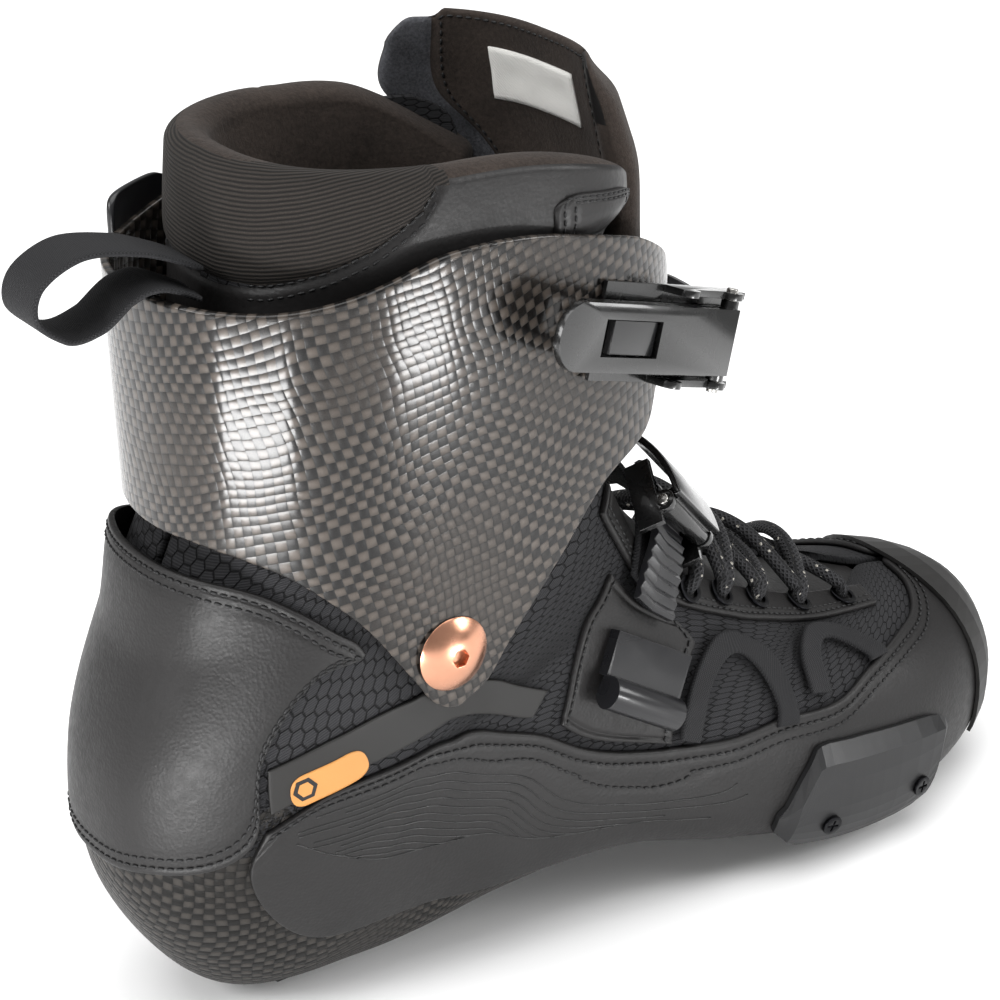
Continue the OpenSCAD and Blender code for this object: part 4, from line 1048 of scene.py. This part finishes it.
PATCH_ANGLE, PATCH_HALF, PATCH_T = 124.0, 17, 15.12  # middle, half width and middle station of a patch
PATCH_EDGE = 11  # half size of a patch, mm
PATCH_SEAMS = (1.6, 3.6)  # its two rows of stitches, mm from the edge


def patch_at(side, u, v, squeeze=1.0):
    """Place on a corner patch: a rounded rectangle whose top corners are pulled in."""
    a = side * (PATCH_ANGLE + PATCH_HALF * (u * squeeze) * (1 - 0.16 * np.clip(v, 0, 1) ** 4))
    return PATCH_T - 0.018 * (np.abs(a) - PATCH_ANGLE) + 0.5 * v * (1 - 0.18 * np.abs(u) ** 6), a


def build_collar_sewing():
    """Two rows of stitches along the sloping seam, and a double sewn patch at each front corner."""
    lines, patch_lines = [], []
    for side, name in ((-1, "lateral"), (1, "medial")):
        x = np.linspace(46, 84, 30)
        at = collar_line(np.stack([x, np.interp(x, SEAM_X, SEAM_Z)], -1), side)
        at = table_at(at, np.linspace(0, len(at) - 1, 120))
        for down, lift in ((0, -0.55), (0.16, -0.05)):
            line = on_collar(at[:, 0] - down, at[:, 1], lift + 0 * at[:, 0])
            lines.append((line, boot_normal(at[:, 0], at[:, 1])))
        u, v = np.meshgrid(np.linspace(-1, 1, 60), np.linspace(-1, 1, 50), indexing="ij")
        t, a = patch_at(side, u, v, np.sqrt(1 - 0.25 * v**4))
        border = np.minimum(1 - np.abs(u), 1 - np.abs(v)) * PATCH_EDGE
        grooves = sum(0.3 * np.exp(-(((border - at) / 0.5) ** 2)) for at in PATCH_SEAMS)
        outer = on_collar(t, a, 0.1 + 0.95 * rise(border) - grooves)
        inner = on_collar(t, a, -0.8 + 0 * t)
        slab_piece("collar_patch_" + name, outer, inner, "collar_leather", "boot", (), "black_leather")
        for at in PATCH_SEAMS:
            r = 1 - at / PATCH_EDGE
            k = np.linspace(-1, 1, 80) * r
            still = np.full(80, r)
            t, a = patch_at(side, np.concatenate([-still, k, still]), np.concatenate([k, still, -k]))
            patch_lines.append((on_collar(t, a, 0.85 + 0 * t), boot_normal(t, a)))
    sew("collar_seam_stitches", lines, 2.6, slot="suede_lining")
    sew("collar_patch_stitches", patch_lines, 2.2)


TONGUE_WRAP = 30.0


def tongue_outside(t, v):
    """Height of the tongue's front, crowned across and thinned to its top edge."""
    high = -2.6 + 16.6 * ramp((t - 9.3) / 3) - 6 * ramp((t - 15) / 3.4)
    low = high - 3.4 - 9.6 * ramp((t - 9.3) / 3) + 3 * ramp((t - 15) / 3.4)
    high = high - 6 * ramp((t - 9.3) / 3) * (1 - np.sin(np.pi * v))
    thin = 1 - 0.72 * ramp((t - 16.7) / 1.1)
    return low + (high - low) * thin, low


def build_tongue():
    """Padded tongue: two faces between its edges, joined by a round edge."""
    m, nv = 260, 72
    near = np.array(TONGUE_EDGE)
    far = np.array([[t, -360 - a - TONGUE_WRAP * ramp(t - 15)] for t, a in near])
    u = np.linspace(0, 1, m)
    p, q = table_at(near, u * (len(near) - 1)), table_at(far, u * (len(far) - 1))
    v = np.linspace(0, 1, nv)[None]
    g = p[:, None] + (q - p)[:, None] * v[..., None]
    t, a = g[..., 0], g[..., 1]
    # the top corners are round, and the top edge dips at the foam side
    corner = 0.5 * (np.clip((v - 0.9) / 0.1, 0, 1) ** 2) + 0.22 * np.clip((0.07 - v) / 0.07, 0, 1) ** 2
    dip = 0.22 * np.clip((v - 0.78) / 0.04, 0, 1)
    t = t - (corner + dip) * ramp((t - 15.5) / 2.7)
    high, low = tongue_outside(t, v + 0 * t)
    edge = np.minimum(np.minimum(v * 60, (1 - v) * 60), (1 - u)[:, None] * 260)
    round_off = np.clip(edge / 3.0, 0, 1)
    shape = 0.12 + 0.88 * np.sqrt(1 - (1 - round_off) ** 2)
    middle = (high + low) / 2
    foam = np.clip((v - 0.82) / 0.02, 0, 1) * ramp((t - 14) / 1.0)
    groove = 1.2 * np.exp(-(((v - 0.82) * 60 / 0.9) ** 2)) + 0.8 * np.exp(-(((v - 0.13) * 60 / 0.7) ** 2))
    outer = on_boot(t, a, middle + (high - middle) * shape)
    inner = on_boot(t, a, middle + (low - middle) * shape * (1 - 0.3 * foam) + groove)
    vv = ((v[0, :-1] + v[0, 1:]) / 2)[None] + 0 * t[:-1, :-1]
    tt = (t[:-1, :-1] + t[1:, 1:]) / 2
    front = np.where(vv > 0.82, 1, np.where(tt < 9.4, 2, 0))
    back = np.where(vv > 0.825, 1, np.where((vv < 0.13) & (tt > 16.4), 2, 0))
    wall = 2 * (m + nv - 2)
    ids = np.concatenate([front.ravel(), back.ravel(), np.zeros(wall, int)])
    obj = slab_piece("tongue_padded", outer, inner, "suede_lining", "boot", ["tongue"], "suede_lining",
                     flat_uv(outer), ids=ids, more=("foam_edge", "black_leather"))
    lines = []
    for share, lo, hi in ((0.79, 0.62, 0.985), (0.1, 0.8, 0.985)):
        k = np.linspace(int(m * lo), int(m * hi) - 1, 300)
        j = int(share * (nv - 1))
        line = np.stack([np.interp(k, np.arange(m), inner[:, j, c]) for c in range(3)], -1)
        ups = unit(np.stack([np.interp(k, np.arange(m), (inner - outer)[:, j, c]) for c in range(3)], -1))
        lines.append((line, ups))
    row = inner[int(m * 0.985)][4:58]
    lines.append((row, unit(inner[int(m * 0.985)] - outer[int(m * 0.985)])[4:58]))
    sew("tongue_stitches", lines, 2.4, slot="suede_lining")
    w, h = np.meshgrid(np.linspace(0, 1, 12), np.linspace(0, 1, 14), indexing="ij")
    tt, aa = 15.9 + 1.2 * w, -171 - 33 * h
    below = tongue_outside(tt, 0.5 + 0 * tt)[1]
    lift = 0.15 + 0.25 * np.sin(9 * w) * np.sin(7 * h) ** 2
    face, rear = on_boot(tt, aa, below - 0.35 - lift), on_boot(tt, aa, below + 0.1)
    slab_piece("tongue_size_label", face, rear, "label_cloth", "boot", ["tongue_label"], "label_cloth", flat_uv(face))


def tape(name, path, across, width, thick, finish, body, replaces, slot, nv=9):
    """Flat woven tape: a strip across a path with round edges."""
    path = np.asarray(path, float)
    tangent = unit(np.gradient(path, axis=0))
    wide = unit(across - tangent * np.sum(across * tangent, -1, keepdims=True))
    normal = np.cross(tangent, wide)
    share = np.linspace(-1, 1, nv)
    share = np.sign(share) * (1 - (1 - np.abs(share)) ** 1.5)
    swell = np.sqrt(np.clip(1 - np.clip((np.abs(share) * width / 2 - width / 2 + 0.8) / 0.8, 0, 1) ** 2, 0.06, 1))
    line = path[:, None] + wide[:, None] * (share * width / 2)[None, :, None]
    outer = line + normal[:, None] * (swell * thick / 2)[None, :, None]
    inner = line - normal[:, None] * (swell * thick / 2)[None, :, None]
    return slab_piece(name, outer, inner, finish, body, replaces, slot, flat_uv(line))


PULL_PATH = [
    [37.5, -5, 203], [32, -5, 206], [22, -4, 210], [9, -2, 211.5], [-1, 0, 206], [-3, 0, 198], [4, -1, 192],
    [12, -3, 193.5], [20, -5, 199.5], [27, -7, 200.8], [36, -9, 196.5],
]


def build_straps():
    """Pull loop, side loops and instep strap."""
    path = smooth_path(PULL_PATH, 150)
    across = np.array([[0, 1.0, 0]])
    loop = tape("heel_pull_loop", path, across, 17, 1.4, "webbing", None, ["pull_loop"], "webbing", 15)
    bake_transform(loop)
    rear_out = [[5.95, -97], [6, -112], [5.75, -127], [5.38, -131.5], [4.95, -128], [4.7, -114], [4.66, -107]]
    rear_in = [[5.72, -97], [5.75, -111], [5.6, -121], [5.38, -125], [5.12, -121], [4.92, -112], [4.9, -105]]
    front_out = [[4.5, -117], [4.55, -130], [4.35, -141], [4.05, -144], [3.75, -141], [3.5, -134], [3.45, -130]]
    front_in = [[4.25, -118], [4.3, -129], [4.2, -136], [4.05, -138], [3.88, -136], [3.7, -131], [3.68, -128]]
    for side, pick in SIDES:
        for name, ca, cb in (("rear", rear_out, rear_in), ("front", front_out, front_in)):
            panel("webbing_loop_%s_%s_tape" % (name, side), pick(ca), pick(cb), PANEL_OUT + 0.15, PANEL_OUT + 1.25,
                  "webbing", ["webbing_loop_%s_%s" % (name, side)], "webbing", 80, 4)
    strap_a = np.arange(-131, -264, -11.0)
    front, rear = (np.stack([t + 0 * strap_a, strap_a], -1) for t in (6.6, 7.62))
    panel("instep_strap_padded", front, rear,
          PANEL_OUT + 0.7, PANEL_OUT + 2.1, "webbing", ["instep_strap"], "webbing", 120, 10, [(1.8, "both")])


def build_laces():
    """Each crossing of a lace rises out of one eyelet, lies over the tongue and dips into the next."""
    s = np.linspace(0, 1, 46)
    for name, first, extra in (("lower", -1, 0.0), ("upper", 1, 4.6)):
        points, faces, uvs, count = [], [], [], 0
        for i in range(len(EYELETS) - 1):
            p, q = EYELETS[i], EYELETS[i + 1]
            even = (i % 2 == 0) == (first < 0)
            a = p[1] + (-360 - q[1] - p[1]) * s if even else -360 - p[1] + (q[1] + 360 + p[1]) * s
            t = p[0] + (q[0] - p[0]) * s
            climb = np.clip(np.minimum(s, 1 - s) / 0.085, 0, 1)
            o = 1.2 + 3.9 * np.sqrt(1 - (1 - climb) ** 2) + extra * np.sin(np.pi * s) ** 2
            pts, fcs, uv = tube(on_boot(t, a, o), 2.15, 16, 0.86)
            points.append(pts)
            faces += [[x + count for x in f] for f in fcs]
            uvs.append(uv)
            count += len(pts)
        make("lace_%s_braid" % name, np.concatenate(points), faces, "lace_cord", "boot", ["lace_%s_run" % name],
             "lace_cord", np.concatenate(uvs))


def build_badge():
    """Gold pill on the side band: its half height follows a half circle at both ends."""
    u = np.linspace(0, 1, 90)
    row = np.array(BADGE_TOP)
    top = table_at(row, u * (len(row) - 1))
    length = np.linalg.norm(np.diff(boot(top[:, 0], top[:, 1]), axis=0), axis=-1).sum()
    radius = 4.3
    x = u * length
    end = np.minimum(x, length - x)
    half = np.sqrt(np.clip(1 - (1 - np.clip(end / radius, 0, 1)) ** 2, 0.0004, 1))
    v = np.linspace(-1, 1, 14)[None]
    per_row = np.linalg.norm(boot(top[:, 0] - 0.1, top[:, 1]) - boot(top[:, 0], top[:, 1]), axis=-1) / 0.1
    t = top[:, :1] - (4.9 - v * half[:, None] * radius) / per_row[:, None]
    a = top[:, 1:] + 0 * t
    outer, inner = on_boot(t, a, 1.62 + 0 * t), on_boot(t, a, 0.9 + 0 * t)
    slab_piece("side_badge_pill", outer, inner, "gold_print", "boot", ["side_badge"], "gold_print")
    c = (len(u) * 22) // 100
    centre = on_boot(t[c, 7], a[c, 7], 1.64)
    ahead = unit(on_boot(t[c + 3, 7], a[c + 3, 7], 1.64) - centre)
    n = boot_normal(t[c, 7], a[c, 7])
    up_dir = np.cross(n, ahead)
    k = np.arange(6) * math.pi / 3
    for name, finish, r0, lift in (("ring", "stitch_thread", 3.3, 0.05), ("core", "gold_print", 2.1, 0.12)):
        ring = centre + (ahead * np.cos(k)[:, None] + up_dir * np.sin(k)[:, None]) * r0
        pts = np.concatenate([ring + n * lift, ring - n * 0.3])
        fcs = [list(range(6)), list(range(11, 5, -1))] + [[(j + 1) % 6, j, j + 6, (j + 1) % 6 + 6] for j in range(6)]
        make("side_badge_" + name, pts, fcs, finish, "boot", (), "gold_print", smooth=False)


def build_rand_lines():
    """Thin raised lines on each rand, set out along its length in a fan of staggered ends."""
    for side, pick in SIDES:
        points, faces, count = [], [], 0
        for k in range(13):
            at = 7.5 + 2.15 * k
            u0, u1 = 0.055 + 0.004 * k + 0.02 * math.sin(k * 1.9), 0.43 - 0.014 * k + 0.035 * math.sin(k * 2.3)
            line, _ = seam_line(pick(RAND_TOP), pick(RAND_LOW), at, "first", PANEL_OUT + 0.02, u0, u1, 90)
            pts, fcs, _ = tube(line, 0.2, 6)
            points.append(pts)
            faces += [[x + count for x in f] for f in fcs]
            count += len(pts)
        make("rand_lines_" + side, np.concatenate(points), faces, "embossed_line", "boot", (), "black_leather")


build_collar()
build_collar_sewing()
build_tongue()
build_straps()
build_laces()
build_badge()
build_rand_lines()

# ---------------------------------------------------------------- CAD parts kept, with their finish

record_slots = {s["node"]: s["material_slot"] for s in frame["record"]["subparts"]}
ROUNDED = {
    "upper_buckle_base": 0.3, "upper_lever": 0.6, "upper_release": 0.35, "instep_buckle_base": 0.3,
    "instep_lever": 0.4, "strap_anchor_block": 0.8, "instep_ladder_strap": 0.25, "upper_strap_anchor": 0.3,
    "slider_screw_rear": 0.15, "slider_screw_front": 0.15, "upper_strap_screw": 0.2,
    "eyelets_lateral": 0.25, "eyelets_medial": 0.25,
    "upper_buckle_pin": 0.3, "instep_buckle_pin": 0.3, "ankle_bolt_lateral": 0.2, "ankle_bolt_medial": 0.2,
}
for node_name, obj in frame["nodes"].items():
    key = record_slots[node_name]
    obj.data.materials.clear()
    obj.data.materials.append(FINISH[key])
for node_name, width in ROUNDED.items():
    refined(node_name, record_slots[node_name], width)

# ---------------------------------------------------------------- floor and light


def build_stage():
    """Pale floor and soft studio lights."""
    low_z = cad_box[0].z
    mesh = bpy.data.meshes.new("floor")
    r = 6.0
    mesh.from_pydata([(-r, -r, low_z), (r, -r, low_z), (r, r, low_z), (-r, r, low_z)], [], [(0, 1, 2, 3)])
    floor = bpy.data.objects.new("floor", mesh)
    bpy.context.scene.collection.objects.link(floor)
    m, _, shader = finish_named("pale_studio_paper", Roughness=0.9)
    shader.inputs["Base Color"].default_value = linear("#f6f6f6")
    floor.data.materials.append(m)
    world = bpy.data.worlds.new("studio")
    bpy.context.scene.world = world
    world.use_nodes = True
    sky = world.node_tree.nodes["Background"].inputs
    sky["Color"].default_value, sky["Strength"].default_value = (1, 1, 1, 1), 0.4
    for name, place_at, aim_at, size, power in (
        ("overhead_box", (0.05, -0.1, 2.4), (0.07, 0, 0.1), (3.0, 3.0), 84),
        ("left_rear_box", (-1.3, 0.2, 0.9), (0.05, 0, 0.15), (0.7, 0.7), 14),
        ("right_front_box", (1.2, -1.0, 0.8), (0.1, 0, 0.1), (0.6, 0.6), 12),
        ("low_left_strip", (-0.28, -0.19, 0.02), (-0.02, -0.02, 0.16), (0.26, 0.05), 1.5),
        ("low_side_strip", (0.17, -0.42, 0.02), (0.05, 0.0, 0.15), (0.14, 0.04), 0.7),
    ):
        light = bpy.data.lights.new(name, "AREA")
        light.shape = "RECTANGLE"
        light.size, light.size_y = size
        light.energy = power
        lamp = bpy.data.objects.new(name, light)
        bpy.context.scene.collection.objects.link(lamp)
        lamp.location = place_at
        lamp.visible_camera = False
        lamp.rotation_mode = "QUATERNION"
        lamp.rotation_quaternion = (Vector(aim_at) - Vector(place_at)).to_track_quat("-Z", "Y")
    bpy.context.scene.view_settings.view_transform = "Standard"


build_stage()
